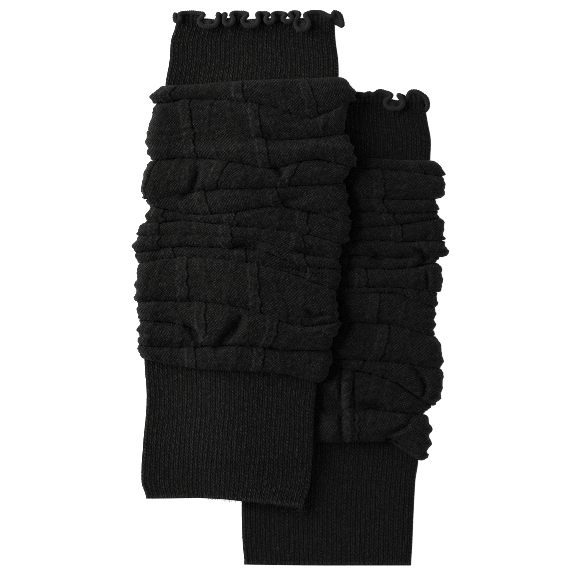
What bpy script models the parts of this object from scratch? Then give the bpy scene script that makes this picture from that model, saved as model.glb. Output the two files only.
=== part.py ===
"""Pair of scrunched knit leg warmers laid flat, one lying partly on the other.

Metres, +Z up. Sizes below are in millimetres. X runs across the pair, Y up its length.
Each leg warmer is four sewn or knitted-on pieces, every one a closed wall of cloth round
a flattened tube: a lettuce edge, a ribbed top cuff, a gathered body and a ribbed lower cuff.
"""
import math
from collections import namedtuple

import bmesh
import bpy
from mathutils import Vector

MM = 0.001

# Cloth walls
CUFF_WALL = 1.9          # rib knit at rest
BODY_WALL = 2.5          # tuck and transfer knit
LETTUCE_WALL = 1.5       # thin knit next to the rolled rim
RIM_WALL = 2.3           # rolled rim
SIDE_WALL = 2.4          # the folded sides, where the cloth is thickest
LAYER_GAP = 0.8          # air between the front and the back of a flattened tube
SEAM_HALF_GAP = 0.15     # half of the space left at each seam

# Ribs of the cuffs
RIBS_ACROSS = 36         # 1x1 rib, 72 round the leg
RIB_RISE = 0.45
SEAM_RUNS = 6            # straight runs of a seam line across the front

# Flattened sections
CUFF_HEIGHT = 4.9        # two walls and the air between them
SEAM_HEIGHT = 5.8        # the body where it is sewn to a cuff
CUFF_CORNER = 2.4        # radius of a cuff's folded side
BODY_CORNER = 8.0
UNDER_CORNER = 4.0
EDGE_SHARE = 0.45        # height of the outermost point of a folded side
HOLLOW_HEIGHT = 7.2      # most air inside a roll; the knit bunches thicker above that
LEAN_SHARE = 0.12        # how far a roll leans down over the crease below it

# The left leg warmer's step up onto the right one
PRESSED_HEIGHT = 8.8     # right body under the left one
PRESSED_CLEAR = 0.9
PRESSED_SHARE = 0.29     # of a fold's height above the seams, where it is pressed
PRESS_STARTS = -1.0      # the folds rise from here to full height, beyond the left one's side
PRESS_ENDS = 13.0
STEP_OUT = 54.0
STEP_IN = 6.0

# Waves of the lettuce edges
WAVES_ACROSS = 9
WAVE_LIFT = 4.2
LETTUCE_REACHES = (0.02, 0.4, 0.75, 1.0)

BLACK = (0.0105, 0.0105, 0.0108, 1.0)

# One row per crease, from the top seam to the lower seam.
#   left, right: ends of the crease, in X    y: height of the crease at six stations across
#   deep: its depth at even stations across  bulge: side swell of the roll below it
#   crest: height of the roll below it       steps: faces round that roll
Fold = namedtuple("Fold", "name left right y deep bulge crest steps")

LEFT_FOLDS = (
    Fold("top seam", -82.3, 32.8, (134.8, 135.5, 137.5, 138.5, 139.0, 140.5), (0, 0, 0), (6.5, 6.5), 13.0, 4),
    Fold("first", -87.5, 40.5, (122.8, 126.0, 124.5, 120.5, 113.0, 124.5), (7, 6, 8), (1.8, -1.5), 15.0, 4),
    Fold("right half", -92.8, 37.2, (105.0, 103.5, 102.5, 98.5, 99.5, 102.5), (0, 0, 0, 5, 8, 7),
         (3.5, 3.0), 16.0, 4),
    Fold("long", -89.5, 43.0, (85.0, 87.0, 84.0, 79.5, 85.5, 80.5), (9, 9, 9), (6.5, -2.0), 16.0, 4),
    Fold("oval", -93.2, 36.5, (59.0, 63.0, 66.0, 66.5, 68.5, 69.5), (0, 5, 9, 9, 8, 7),
         (1.5, 1.2), 14.5, 4),
    Fold("wedge", -92.5, 40.0, (54.5, 49.5, 50.0, 54.5, 51.0, 43.5), (8, 6, 8), (0.5, 2.0), 13.0, 3),
    Fold("thin", -96.0, 36.0, (43.0, 44.5, 42.0, 39.5, 36.0, 29.5), (7, 7, 5), (3.0, 0.0), 13.5, 3),
    Fold("right dimple", -98.8, 32.8, (34.5, 35.5, 34.5, 31.5, 23.5, 19.5), (1, 2, 6), (3.8, 0.5), 13.5, 3),
    Fold("pocket", -100.8, 33.5, (23.5, 27.5, 27.0, 25.5, 15.5, 12.5), (8, 9, 7), (2.0, 1.5), 12.0, 3),
    Fold("cord", -99.0, 30.8, (16.5, 20.0, 19.0, 15.5, 8.0, -1.5), (5, 6, 6, 8, 8, 8),
         (2.0, 0.0), 16.5, 4),
    Fold("swirl", -101.2, 33.3, (-9.0, -8.5, -10.0, -16.0, -25.5, -22.5), (9, 9, 8), (0.5, 1.5), 16.0, 4),
    Fold("diagonal", -99.3, 29.0, (-21.5, -24.0, -31.5, -31.0, -34.0, -33.0), (8, 8, 2, 0, 0, 0),
         (1.0, 0.5), 14.5, 3),
    Fold("last", -99.5, 25.8, (-38.5, -39.5, -38.5, -38.5, -41.5, -41.5), (8, 9, 8), (2.0, 4.8), 13.0, 4),
    Fold("lower seam", -96.3, 18.2, (-47.5, -52.5, -55.0, -55.5, -57.0, -63.5), (0, 0, 0), (0, 0), 0, 0),
)

RIGHT_FOLDS = (
    Fold("top seam", -18.0, 94.0, (87.5, 87.0, 87.0, 86.5, 85.0, 85.0), (0, 0, 0), (9.5, 5.5), 11.0, 3),
    Fold("first", -34.0, 100.0, (81.0, 80.5, 80.0, 79.5, 77.5, 74.5), (6, 6, 7), (1.0, 4.8), 14.5, 4),
    Fold("second", -35.0, 98.0, (63.5, 63.0, 62.5, 61.0, 59.0, 59.5), (0, 0, 0, 0, 9, 8),
         (0.5, 0.5), 14.0, 3),
    Fold("third", -35.0, 98.3, (53.0, 52.5, 51.5, 51.5, 49.5, 51.0), (6, 6, 6), (0.5, 1.5), 14.0, 3),
    Fold("fourth", -35.0, 99.6, (41.0, 40.5, 40.5, 40.5, 42.5, 46.5), (7, 7, 7), (0.5, 3.5), 13.0, 3),
    Fold("fifth", -35.0, 100.2, (31.5, 31.5, 31.5, 32.0, 31.0, 31.5), (5, 6, 8), (0.5, 5.5), 13.5, 3),
    Fold("pocket", -35.0, 100.4, (22.5, 23.0, 23.0, 21.5, 20.5, 20.5), (2, 6, 3), (0.5, 0.5), 12.5, 3),
    Fold("sixth", -35.0, 97.2, (15.0, 15.0, 14.5, 13.0, 12.5, 16.5), (7, 8, 8), (0.5, 4.9), 14.5, 4),
    Fold("seventh", -35.0, 97.4, (3.5, 3.0, 2.5, 0.5, 0.0, -3.0), (7, 8, 6), (0.5, 1.5), 13.5, 3),
    Fold("branch", -35.0, 97.1, (-5.5, -5.5, -5.0, -4.5, -3.5, -13.0), (1, 3, 6), (0.5, 0.5), 15.0, 4),
    Fold("eighth", -35.5, 96.0, (-23.0, -23.5, -24.5, -23.0, -24.5, -32.5), (8, 8, 9), (0.5, 4.7), 15.5, 4),
    Fold("ninth", -36.0, 98.7, (-43.0, -45.0, -46.5, -48.0, -50.0, -53.5), (8, 9, 8), (0.5, 5.4), 14.0, 4),
    Fold("fan", -35.5, 94.3, (-52.5, -52.5, -52.5, -55.0, -62.5, -78.7), (6, 7, 8), (0.5, 0.0), 15.0, 4),
    Fold("flap", -35.5, 89.0, (-76.0, -78.5, -80.5, -80.5, -82.0, -84.5), (5, 5, 6, 1, 9, 8),
         (0.5, 6.6), 14.5, 4),
    Fold("lower seam", -30.0, 86.0, (-99.0, -100.5, -102.5, -104.0, -101.0, -115.5), (0, 0, 0), (0, 0), 0, 0),
)

# One row per section of a ribbed cuff, between its free end and its seam.
Row = namedtuple("Row", "left right y")

LEFT_TOP = (
    Row(-75.0, 30.2, (176.5,) * 6),
    Row(-78.5, 30.8, (165.0,) * 6),
    Row(-79.5, 32.5, (151.5,) * 6),
)
LEFT_LOWER = (
    Row(-94.8, 16.5, (-75.0, -76.0, -77.0, -77.0, -78.0, -80.0)),
    Row(-97.4, 15.5, (-108.0,) * 6),
    Row(-98.2, 13.5, (-130.0, -130.0, -130.5, -131.0, -132.0, -133.0)),
    Row(-94.8, 9.0, (-141.0, -140.8, -140.5, -142.5, -144.5, -147.0)),
)
RIGHT_TOP = (
    Row(-15.5, 90.5, (122.5,) * 6),
    Row(-17.5, 92.0, (112.0,) * 6),
    Row(-18.0, 94.3, (99.0,) * 6),
)
RIGHT_LOWER = (
    Row(-30.8, 84.1, (-128.5,) * 6),
    Row(-31.3, 82.9, (-150.0,) * 6),
    Row(-30.6, 82.0, (-172.0,) * 6),
    Row(-29.3, 81.2, (-185.0, -185.3, -185.6, -185.6, -185.6, -185.6)),
)

# Left edge of the right leg warmer and the height it holds the other one up to, down Y.
Support = namedtuple("Support", "y edge height")

SUPPORTS = (
    Support(170.0, -16.0, 0.0),
    Support(133.0, -16.0, 6.6),
    Support(99.0, -18.0, 6.6),
    Support(90.0, -35.0, PRESSED_HEIGHT + PRESSED_CLEAR),
    Support(-105.0, -36.0, PRESSED_HEIGHT + PRESSED_CLEAR),
    Support(-130.0, -31.0, 6.3),
    Support(-150.0, -31.0, 6.2),
)
COVERED_RIGHT = 44.0     # the left leg warmer lies on every part of the right one left of this


def mix(first, second, share):
    return first + (second - first) * share


def ease(start, end, value):
    share = min(max((value - start) / (end - start), 0.0), 1.0)
    return share * share * (3.0 - 2.0 * share)


def across(values, share):
    """A smooth line through evenly spaced stations."""
    place = min(max(share, 0.0), 1.0) * (len(values) - 1)
    index = min(int(place), len(values) - 2)
    part = place - index
    before = values[max(index - 1, 0)]
    after = values[min(index + 2, len(values) - 1)]
    first, second = values[index], values[index + 1]
    start_slope = (second - before) / 2.0
    end_slope = (after - first) / 2.0
    cube = 2.0 * (first - second) + start_slope + end_slope
    bend = 3.0 * (second - first) - 2.0 * start_slope - end_slope
    return first + part * (start_slope + part * (bend + part * cube))


def across_tube(left, right, mark, inside):
    """X of a mark, its share of the outer width, and its distance from its own skin's side."""
    margin = SIDE_WALL if inside else 0.0
    to_side = min(mark, 1.0 - mark)
    inward = margin * max(1.0 - to_side * SEAM_RUNS, 0.0)
    x = mix(left, right, mark) + (inward if mark < 0.5 else -inward)
    distance = max(to_side * (right - left) + inward - margin, 0.0)
    return x, (x - left) / (right - left), distance


def seam_line(values, share):
    """Straight runs between sixths of the width, the same for both sides of a seam."""
    place = min(max(share, 0.0), 1.0) * SEAM_RUNS
    index = min(int(place + 1e-9), SEAM_RUNS - 1)
    first = across(values, index / SEAM_RUNS)
    second = across(values, (index + 1) / SEAM_RUNS)
    return mix(first, second, place - index)


def support_at(y):
    for high, low in zip(SUPPORTS, SUPPORTS[1:]):
        if y > low.y:
            share = 1.0 - ease(low.y, high.y, y)
            return mix(high.edge, low.edge, share), mix(high.height, low.height, share)
    return SUPPORTS[-1].edge, SUPPORTS[-1].height


def left_base(x, y):
    """Underside of the left leg warmer: the floor, then up onto the right one."""
    edge, height = support_at(y)
    return height * ease(edge - STEP_OUT, edge + STEP_IN, x)


def right_base(x, y):
    return 0.0


def left_side_line():
    """The left leg warmer's right side, as (Y, X) places from its lower end to its top seam."""
    places = [(row.y[-1], row.right) for row in LEFT_LOWER[::-1]]
    for upper, lower in zip(LEFT_FOLDS[-2::-1], LEFT_FOLDS[:0:-1]):
        places.append((lower.y[-1], lower.right))
        middle = mix(lower.y[-1], upper.y[-1], 0.5)
        places.append((middle, mix(lower.right, upper.right, 0.5) + upper.bulge[1]))
    return places


LEFT_SIDE = left_side_line()


def left_side_at(y):
    for low, high in zip(LEFT_SIDE, LEFT_SIDE[1:]):
        if y < high[0]:
            return mix(low[1], high[1], max((y - low[0]) / (high[0] - low[0]), 0.0))
    return LEFT_SIDE[-1][1]


def unpressed(x, y):
    """The left leg warmer lies on top, so its folds keep their whole height."""
    return 1.0


def right_press(x, y):
    """How much of its height a fold of the right body keeps under and beside the left one."""
    return mix(PRESSED_SHARE, 1.0, ease(PRESS_STARTS, PRESS_ENDS, x - left_side_at(y)))


def round_side(distance, radius):
    share = 1.0 - min(distance / radius, 1.0)
    return math.sqrt(1.0 - share * share)


def even_marks(parts, corners):
    """Shares across a piece: a few close to each folded side, then each sixth in equal parts."""
    count = parts * SEAM_RUNS
    middle = [index / count for index in range(parts, count - parts + 1)]
    return list(corners) + middle + [1.0 - share for share in reversed(corners)]


def steps_across(count):
    return [index / count for index in range(count + 1)]


# Shares across a piece at which its front, its underside and the front's inside have points.
# The left leg warmer has more of them, because it bends up over the right one.
Marks = namedtuple("Marks", "front back inside")
BODY_FRONT = even_marks(2, (0.0, 0.01, 0.035, 0.075, 0.12))
CUFF_FRONT = steps_across(2 * RIBS_ACROSS)
LEFT_BODY_MARKS = Marks(BODY_FRONT, even_marks(2, (0.0, 0.01, 0.035)), even_marks(2, (0.0, 0.05)))
RIGHT_BODY_MARKS = Marks(BODY_FRONT, even_marks(1, (0.0, 0.01, 0.035)), even_marks(2, (0.0, 0.05)))
LEFT_CUFF_MARKS = Marks(CUFF_FRONT, even_marks(2, (0.0, 0.02)), even_marks(2, (0.0, 0.03)))
RIGHT_CUFF_MARKS = Marks(CUFF_FRONT, even_marks(1, (0.0, 0.02)), even_marks(1, (0.0, 0.03)))
LETTUCE_FRONT = steps_across(6 * WAVES_ACROSS)
LETTUCE_BACK = steps_across(4 * WAVES_ACROSS)
LETTUCE_MARKS = Marks(LETTUCE_FRONT, LETTUCE_BACK, LETTUCE_FRONT)


def ring_marks(marks, inside):
    """Where each point of a ring lies round the tube, from 0 at the left side to 1."""
    front = marks.inside if inside else marks.front
    under = [1.0 - share / 2.0 for share in reversed(marks.back[1:-1])]
    return [share / 2.0 for share in front] + under


def ring_points(marks, inside, front_point, back_point):
    front = marks.inside if inside else marks.front
    under = [back_point(share) for share in reversed(marks.back[1:-1])]
    return [front_point(share) for share in front] + under


def body_rows(folds):
    """Every section down a body, as the fold above it and the angle round the roll."""
    rows = []
    for index, fold in enumerate(folds[:-1]):
        rows += [(index, math.pi * step / fold.steps) for step in range(fold.steps)]
    return rows + [(len(folds) - 2, math.pi)]


def body_section(folds, row, base, press, marks, inside):
    """One ring of a body: creases at its ends, a half-round roll between them."""
    index, angle = row
    upper, lower = folds[index], folds[index + 1]
    turn = (1.0 - math.cos(angle)) / 2.0
    swell = math.sin(angle)
    at_crease = swell < 0.01
    left = mix(upper.left, lower.left, turn) - upper.bulge[0] * swell
    right = mix(upper.right, lower.right, turn) + upper.bulge[1] * swell
    top_seam = index == 0 and angle == 0.0
    lower_seam = index == len(folds) - 2 and angle == math.pi

    def crease_height(number, share):
        if number in (0, len(folds) - 1):
            return SEAM_HEIGHT
        return max(folds[number - 1].crest, folds[number].crest) - across(folds[number].deep, share)

    def place(mark):
        x, share, distance = across_tube(left, right, mark, inside)
        first = across(upper.y, share)
        last = across(lower.y, share)
        half = (first - last) / 2.0
        high, low = crease_height(index, share), crease_height(index + 1, share)
        crest = min(upper.crest, max(high, low) + 1.2 + 1.15 * half)
        near = high if angle < math.pi / 2 else low
        rise = crest - near
        y = mix(first, last, turn) - LEAN_SHARE * half * swell
        if top_seam:
            y = seam_line(upper.y, share) - SEAM_HALF_GAP
        if lower_seam:
            y = seam_line(lower.y, share) + SEAM_HALF_GAP
        top = max(near + rise * swell, SEAM_HEIGHT)
        if inside and at_crease:
            top -= BODY_WALL
        elif inside:
            out_y = math.cos(angle) / max(half, 1.0)
            out_z = swell / max(abs(rise), 1.0)
            length = math.hypot(out_y, out_z)
            y -= min(0.75 * BODY_WALL, 0.4 * half) * out_y / length
            hollow = top - BODY_WALL * max(out_z / length, 0.6)
            filled = max(mix(high, low, turn), SEAM_HEIGHT) - BODY_WALL
            top = mix(min(filled, hollow), hollow, ease(1.5, 5.5, half))
        return x, y, top, distance

    def pressed(x, y, top):
        """The fold's height where the other leg warmer lies on it, for this skin of the wall."""
        wall = BODY_WALL if inside else 0.0
        top = SEAM_HEIGHT + (top + wall - SEAM_HEIGHT) * press(x, y) - wall
        return min(max(top, BODY_WALL + LAYER_GAP), BODY_WALL + HOLLOW_HEIGHT) if inside else top

    def side_height(top):
        return max(BODY_WALL + LAYER_GAP / 2.0, EDGE_SHARE * top) if inside else EDGE_SHARE * top

    def front(share):
        x, y, top, distance = place(share)
        top = pressed(x, y, top)
        corner = BODY_CORNER - BODY_WALL if inside else BODY_CORNER
        return x, y, base(x, y) + mix(side_height(top), top, round_side(distance, corner))

    def back(share):
        x, y, top, distance = place(share)
        side = side_height(pressed(x, y, top))
        low = BODY_WALL if inside else 0.0
        return x, y, base(x, y) + mix(side, low, round_side(distance, UNDER_CORNER))

    return ring_points(marks, inside, front, back)


def cuff_section(row, shift, base, marks, inside):
    """One ring of a ribbed cuff: raised ribs in front, plain inside and underneath."""
    middle = CUFF_HEIGHT / 2.0

    def place(share):
        x, side_share, distance = across_tube(row.left, row.right, share, inside)
        return x, seam_line(row.y, side_share) + shift, distance

    def front(share):
        x, y, distance = place(share)
        if inside:
            return x, y, base(x, y) + mix(middle, CUFF_HEIGHT - CUFF_WALL, round_side(distance, 1.5))
        rib = RIB_RISE if round(share * 2 * RIBS_ACROSS) % 2 else 0.0
        return x, y, base(x, y) + mix(middle, CUFF_HEIGHT, round_side(distance, CUFF_CORNER)) + rib

    def back(share):
        x, y, distance = place(share)
        low = CUFF_WALL if inside else 0.0
        return x, y, base(x, y) + mix(middle, low, round_side(distance, CUFF_CORNER))

    return ring_points(marks, inside, front, back)


def lettuce_section(row, reach, rise, base, calm, inside):
    """One ring of a lettuce edge; reach runs from 0 at the cuff to 1 at the rolled rim."""
    wall = mix(LETTUCE_WALL, RIM_WALL, reach)
    margin = wall if inside else 0.0
    left = row.left - 1.5 * reach + margin
    right = row.right + 4.0 * reach - margin
    middle = CUFF_HEIGHT / 2.0

    def place(share):
        x = mix(left, right, share)
        wave = 0.5 - 0.5 * math.cos(2.0 * math.pi * WAVES_ACROSS * share)
        wave *= calm(x)
        y = across(row.y, share) + SEAM_HALF_GAP + reach * mix(rise, 0.45 * rise, wave)
        return x, y, wave * reach, min(share, 1.0 - share) * (right - left)

    def front(share):
        x, y, wave, distance = place(share)
        top = CUFF_HEIGHT + WAVE_LIFT * wave - (wall if inside else 0.0)
        return x, y, base(x, y) + mix(middle, top, round_side(distance, CUFF_CORNER))

    def back(share):
        x, y, wave, distance = place(share)
        low = 0.9 * wave + (min(wall, 1.7) if inside else 0.0)
        return x, y, base(x, y) + mix(middle, low, round_side(distance, CUFF_CORNER))

    return ring_points(LETTUCE_MARKS, inside, front, back)


def add_skin(bm, sections):
    """Loft one skin of the cloth through its rings."""
    rings = [[bm.verts.new(Vector(point) * MM) for point in section] for section in sections]
    for high, low in zip(rings, rings[1:]):
        for index, vertex in enumerate(high):
            following = (index + 1) % len(high)
            bm.faces.new((vertex, high[following], low[following], low[index]))
    return rings


def add_cut_edge(bm, outer, inner, outer_marks, inner_marks):
    """Close the cloth between its two skins at an open end."""
    outer_marks = outer_marks + [1.0]
    inner_marks = inner_marks + [1.0]
    here, there = 0, 0
    while here < len(outer) or there < len(inner):
        step_outer = outer_marks[here + 1] if here < len(outer) else 2.0
        step_inner = inner_marks[there + 1] if there < len(inner) else 2.0
        first, second = outer[here % len(outer)], inner[there % len(inner)]
        if step_outer <= step_inner:
            here += 1
            bm.faces.new((first, second, outer[here % len(outer)]))
        else:
            there += 1
            bm.faces.new((first, second, inner[there % len(inner)]))


def add_piece(name, collection, outer, inner, marks, roughness):
    """A closed solid from an outer skin, an inner skin and the two cut edges between them."""
    bm = bmesh.new()
    outer_rings = add_skin(bm, outer)
    inner_rings = add_skin(bm, inner)
    for end in (0, -1):
        around = ring_marks(marks, False), ring_marks(marks, True)
        add_cut_edge(bm, outer_rings[end], inner_rings[end], *around)
    bmesh.ops.triangulate(bm, faces=bm.faces)
    bmesh.ops.recalc_face_normals(bm, faces=bm.faces)
    mesh = bpy.data.meshes.new(name)
    bm.to_mesh(mesh)
    bm.free()
    mesh.materials.append(knit_material(name + " knit", roughness))
    collection.objects.link(bpy.data.objects.new(name, mesh))
    print(name, len(mesh.polygons), "faces")


def knit_material(name, roughness):
    material = bpy.data.materials.new(name)
    material.use_nodes = True
    shader = material.node_tree.nodes["Principled BSDF"]
    shader.inputs["Base Color"].default_value = BLACK
    shader.inputs["Roughness"].default_value = roughness
    return material


def add_body(name, collection, folds, base, press, marks):
    rows = body_rows(folds)
    outer = [body_section(folds, row, base, press, marks, False) for row in rows]
    inner = [body_section(folds, row, base, press, marks, True) for row in rows]
    add_piece(name, collection, outer, inner, marks, 0.95)


def add_cuff(name, collection, rows, seam, base, marks, above):
    """A cuff from its free end to the seam; above says that it sits over the body."""
    seam_row = Row(seam.left, seam.right, seam.y)
    shifts = [0.0] * len(rows) + [SEAM_HALF_GAP if above else -SEAM_HALF_GAP]
    sections = list(zip(list(rows) + [seam_row], shifts))
    outer = [cuff_section(row, shift, base, marks, False) for row, shift in sections]
    inner = [cuff_section(row, shift, base, marks, True) for row, shift in sections]
    add_piece(name, collection, outer, inner, marks, 0.9)


def add_lettuce(name, collection, row, rise, base, calm):
    outer = [lettuce_section(row, reach, rise, base, calm, False) for reach in LETTUCE_REACHES]
    inner = [lettuce_section(row, reach, rise, base, calm, True) for reach in LETTUCE_REACHES]
    add_piece(name, collection, outer, inner, LETTUCE_MARKS, 0.9)


def always_wavy(x):
    return 1.0


def wavy_in_the_open(x):
    return ease(COVERED_RIGHT - 2.0, COVERED_RIGHT + 8.0, x)


def build():
    for leftover in list(bpy.data.objects):
        bpy.data.objects.remove(leftover, do_unlink=True)
    pair = bpy.data.collections.new("pair_of_leg_warmers")
    bpy.context.scene.collection.children.link(pair)
    left_marks, right_marks = LEFT_CUFF_MARKS, RIGHT_CUFF_MARKS
    add_lettuce("left_lettuce_edge", pair, LEFT_TOP[0], 9.0, left_base, always_wavy)
    add_cuff("left_top_cuff", pair, LEFT_TOP, LEFT_FOLDS[0], left_base, left_marks, True)
    add_body("left_body", pair, LEFT_FOLDS, left_base, unpressed, LEFT_BODY_MARKS)
    add_cuff("left_lower_cuff", pair, LEFT_LOWER[::-1], LEFT_FOLDS[-1], left_base, left_marks, False)
    add_lettuce("right_lettuce_edge", pair, RIGHT_TOP[0], 8.3, right_base, wavy_in_the_open)
    add_cuff("right_top_cuff", pair, RIGHT_TOP, RIGHT_FOLDS[0], right_base, right_marks, True)
    add_body("right_body", pair, RIGHT_FOLDS, right_base, right_press, RIGHT_BODY_MARKS)
    add_cuff("right_lower_cuff", pair, RIGHT_LOWER[::-1], RIGHT_FOLDS[-1], right_base, right_marks, False)


build()
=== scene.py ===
# %% [markdown]
# # A pair of scrunched leg warmers
#
# Two black knit leg warmers lie flat, the left one over the left half of the right one.
# Each is one knitted tube in four lengths: a frilled lettuce edge, a ribbed top cuff, a long
# patterned body that is pushed together into rolls, and a ribbed lower cuff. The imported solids
# load first and stay where they are, and each length of cloth gets a fine skin in its place.

# %% The frame
import math
from collections import namedtuple

import bmesh
import bpy
import numpy as np
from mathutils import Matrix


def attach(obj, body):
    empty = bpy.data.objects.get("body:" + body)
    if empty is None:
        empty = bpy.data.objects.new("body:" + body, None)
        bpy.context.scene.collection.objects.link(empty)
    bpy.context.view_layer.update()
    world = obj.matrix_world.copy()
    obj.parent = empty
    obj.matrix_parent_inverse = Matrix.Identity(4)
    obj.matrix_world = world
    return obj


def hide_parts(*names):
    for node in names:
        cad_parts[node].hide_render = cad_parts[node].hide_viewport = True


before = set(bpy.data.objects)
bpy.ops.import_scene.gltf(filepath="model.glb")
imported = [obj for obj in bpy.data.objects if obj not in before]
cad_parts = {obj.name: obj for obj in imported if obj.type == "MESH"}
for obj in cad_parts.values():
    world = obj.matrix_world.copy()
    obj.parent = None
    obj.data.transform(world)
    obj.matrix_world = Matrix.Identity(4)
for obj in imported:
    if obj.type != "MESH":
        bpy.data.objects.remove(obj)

MM = 0.001
SCENE = bpy.context.scene
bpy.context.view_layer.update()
print("solids:", sorted(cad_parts))

# %% [markdown]
# ## Camera, light and floor
#
# Flat knitwear is best seen from straight above. A long lens far away keeps the thick middle
# from looking larger than the flat cuffs. Black knit shows only where light grazes it, so a
# large soft light stands low at the upper left and a small one low at the right, while a weak
# one fills from overhead.

# %% Camera
PICTURE_WIDTH = 386.7 * MM          # what the picture's width covers at the cloth
PICTURE_CENTRE = (0.67 * MM, -1.67 * MM)
CAMERA_HEIGHT = 5.0
CLOTH_HEIGHT = 0.010
SENSOR = 36.0
SHARPNESS = 0.9                     # pixels that one point of cloth spreads over

camera_data = bpy.data.cameras.new("overhead camera")
camera_data.sensor_width = SENSOR
camera_data.lens = SENSOR * (CAMERA_HEIGHT - CLOTH_HEIGHT) / PICTURE_WIDTH
camera = bpy.data.objects.new("overhead_camera", camera_data)
camera.location = (*PICTURE_CENTRE, CAMERA_HEIGHT)
SCENE.collection.objects.link(camera)
SCENE.camera = camera
SCENE.cycles.filter_width = SHARPNESS
SCENE.cycles.use_denoising = False   # it rubs out stitches that lie 2 pixels apart
print("lens of", round(camera_data.lens), "mm")


# %% Colours, nodes and objects
def linear(code):
    """An sRGB hex colour as the linear red, green, blue and alpha that shaders read."""
    values = [int(code[start:start + 2], 16) / 255 for start in (1, 3, 5)]
    flat = [v / 12.92 if v <= 0.04045 else ((v + 0.055) / 1.055) ** 2.4 for v in values]
    return (*flat, 1.0)


def set_inputs(node, **values):
    """Give inputs of a node their values; the _ of a name stands for a space."""
    for name, value in values.items():
        node.inputs[name.replace("_", " ")].default_value = value


def add_node(tree, kind, settings=None, **links):
    """A shader node with its settings, its values and its links."""
    node = tree.nodes.new(kind)
    for name, value in (settings or {}).items():
        setattr(node, name, value)
    for name, value in links.items():
        key = int(name[1:]) if name[0] == "i" and name[1:].isdigit() else name.replace("_", " ")
        if isinstance(value, bpy.types.NodeSocket):
            tree.links.new(value, node.inputs[key])
        else:
            node.inputs[key].default_value = value
    return node


def add_object(name, bm, material):
    """The mesh in bm as an object at the origin."""
    mesh = bpy.data.meshes.new(name)
    bm.to_mesh(mesh)
    bm.free()
    mesh.materials.append(material)
    made = bpy.data.objects.new(name, mesh)
    SCENE.collection.objects.link(made)
    return made


# %% Lights
LIGHTS = (               # name, place and width in metres, watts, colour
    ("window_light", (-1.24, 0.5, 0.6), 1.3, 38.0, "#fffdf8"),
    ("side_light", (1.5, -0.1, 0.42), 0.6, 5.0, "#fffdf8"),
    ("overhead_fill", (-0.3, -0.6, 2.2), 2.2, 8.0, "#ffffff"),
)


def add_light(name, place, width, power, colour):
    """A soft square light that looks at the cloth and never shows in a picture."""
    data = bpy.data.lights.new(name, "AREA")
    data.size = width
    data.energy = power
    data.color = linear(colour)[:3]
    light = bpy.data.objects.new(name, data)
    light.location = place
    aim = -light.location
    light.rotation_euler = aim.to_track_quat("-Z", "Y").to_euler()
    light.visible_camera = False
    SCENE.collection.objects.link(light)


for row in LIGHTS:
    add_light(*row)
SCENE.view_settings.view_transform = "Standard"
print(len(LIGHTS), "lights")

# %% Floor and room
PAPER_REACH = 6.0        # metres from the origin to the paper's edge
PAPER_DROP = 0.0002      # metres that it lies below the cloth
PAPER_GLOW = 0.8         # it lights itself, so that it stays white round the black knit
ROOM_GLOW = 0.17

paper = bpy.data.materials.new("matt white paper")
paper.use_nodes = True
set_inputs(paper.node_tree.nodes["Principled BSDF"], Base_Color=linear("#f6f6f6"), Roughness=0.9,
           Emission_Color=linear("#ffffff"), Emission_Strength=PAPER_GLOW)
bm = bmesh.new()
bmesh.ops.create_grid(bm, x_segments=1, y_segments=1, size=PAPER_REACH)
floor = add_object("paper_floor", bm, paper)
floor.location.z = -PAPER_DROP

world = bpy.data.worlds.new("white room")
world.use_nodes = True
set_inputs(world.node_tree.nodes["Background"], Color=linear("#ffffff"), Strength=ROOM_GLOW)
SCENE.world = world
print("a paper floor in a white room")

# %% [markdown]
# ## The sizes of the cloth
#
# The ribs give the scale: 72 ribs round a cuff is what a small sock machine knits, and that
# cuff is 112 mm wide laid flat. The rows below are the same as those of the solids. A body has one
# row per crease: the X of its two ends, its Y at six stations across and its depth, then how far
# the roll below it bulges at either side, how high that roll stands, and how far the pattern on
# it has slid sideways. A cuff has one row per section: its two sides and its Y at six stations.

# %% Sizes in millimetres
CUFF_WALL = 1.9
BODY_WALL = 2.5
BODY_WIDTH = 125.0
SIDE_WALL = 2.4
LAYER_GAP = 0.8          # of air between the two layers of a flat part
CUFF_HEIGHT = 4.9
SEAM_HEIGHT = 5.8
SEAM_SHIFT = 0.15        # half of the gap that the solids leave at a seam
CUFF_CORNER = 2.4        # how far in from a side it is still rounded
INNER_CORNER = 1.5
BODY_CORNER = 8.0
UNDER_CORNER = 4.0
EDGE_SHARE = 0.45        # of the height, where the front and the underside meet
HOLLOW_HEIGHT = 7.2      # of the air inside a roll
LEAN_SHARE = 0.16        # of half a roll's width that its crest leans down the leg
FLATNESS = 0.72          # under 1, a roll has a flatter top and steeper sides than half an ellipse
RIBS_ACROSS = 36
RIB_RISE = 0.55
COURSE = 2.27            # height of one row of stitches
SEAM_RUNS = 6            # straight runs across a seam
FLUFF = 0.4              # of loose fibre beyond a folded side
PRESSED_HEIGHT = 8.8     # of the right one under the left one
PRESSED_CLEAR = 0.9      # of air between them
STEP_OUT = 54.0          # over which the left one climbs, before the edge of the right one
STEP_IN = 6.0            # and beyond it
PRESSED_SHARE = 0.29     # of a fold's height above the seams, where the left one lies on it
PRESS_STARTS = -1.0      # beyond the left one's side
PRESS_ENDS = 13.0

# %% Creases of the two bodies
Fold = namedtuple("Fold", "name left right y deep bulge crest slide")
Row = namedtuple("Row", "left right y")
Support = namedtuple("Support", "y edge height")


def read_rows(kind, table):
    """One kind of row from each line: a name, then numbers and groups of numbers between bars."""
    rows = []
    for line in table.strip().splitlines():
        name, *parts = line.split("|")
        groups = [tuple(float(word) for word in part.split()) for part in parts]
        values = [group if len(group) > 1 else group[0] for group in groups]
        rows.append(kind(name.strip(), *values))
    return tuple(rows)


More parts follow.
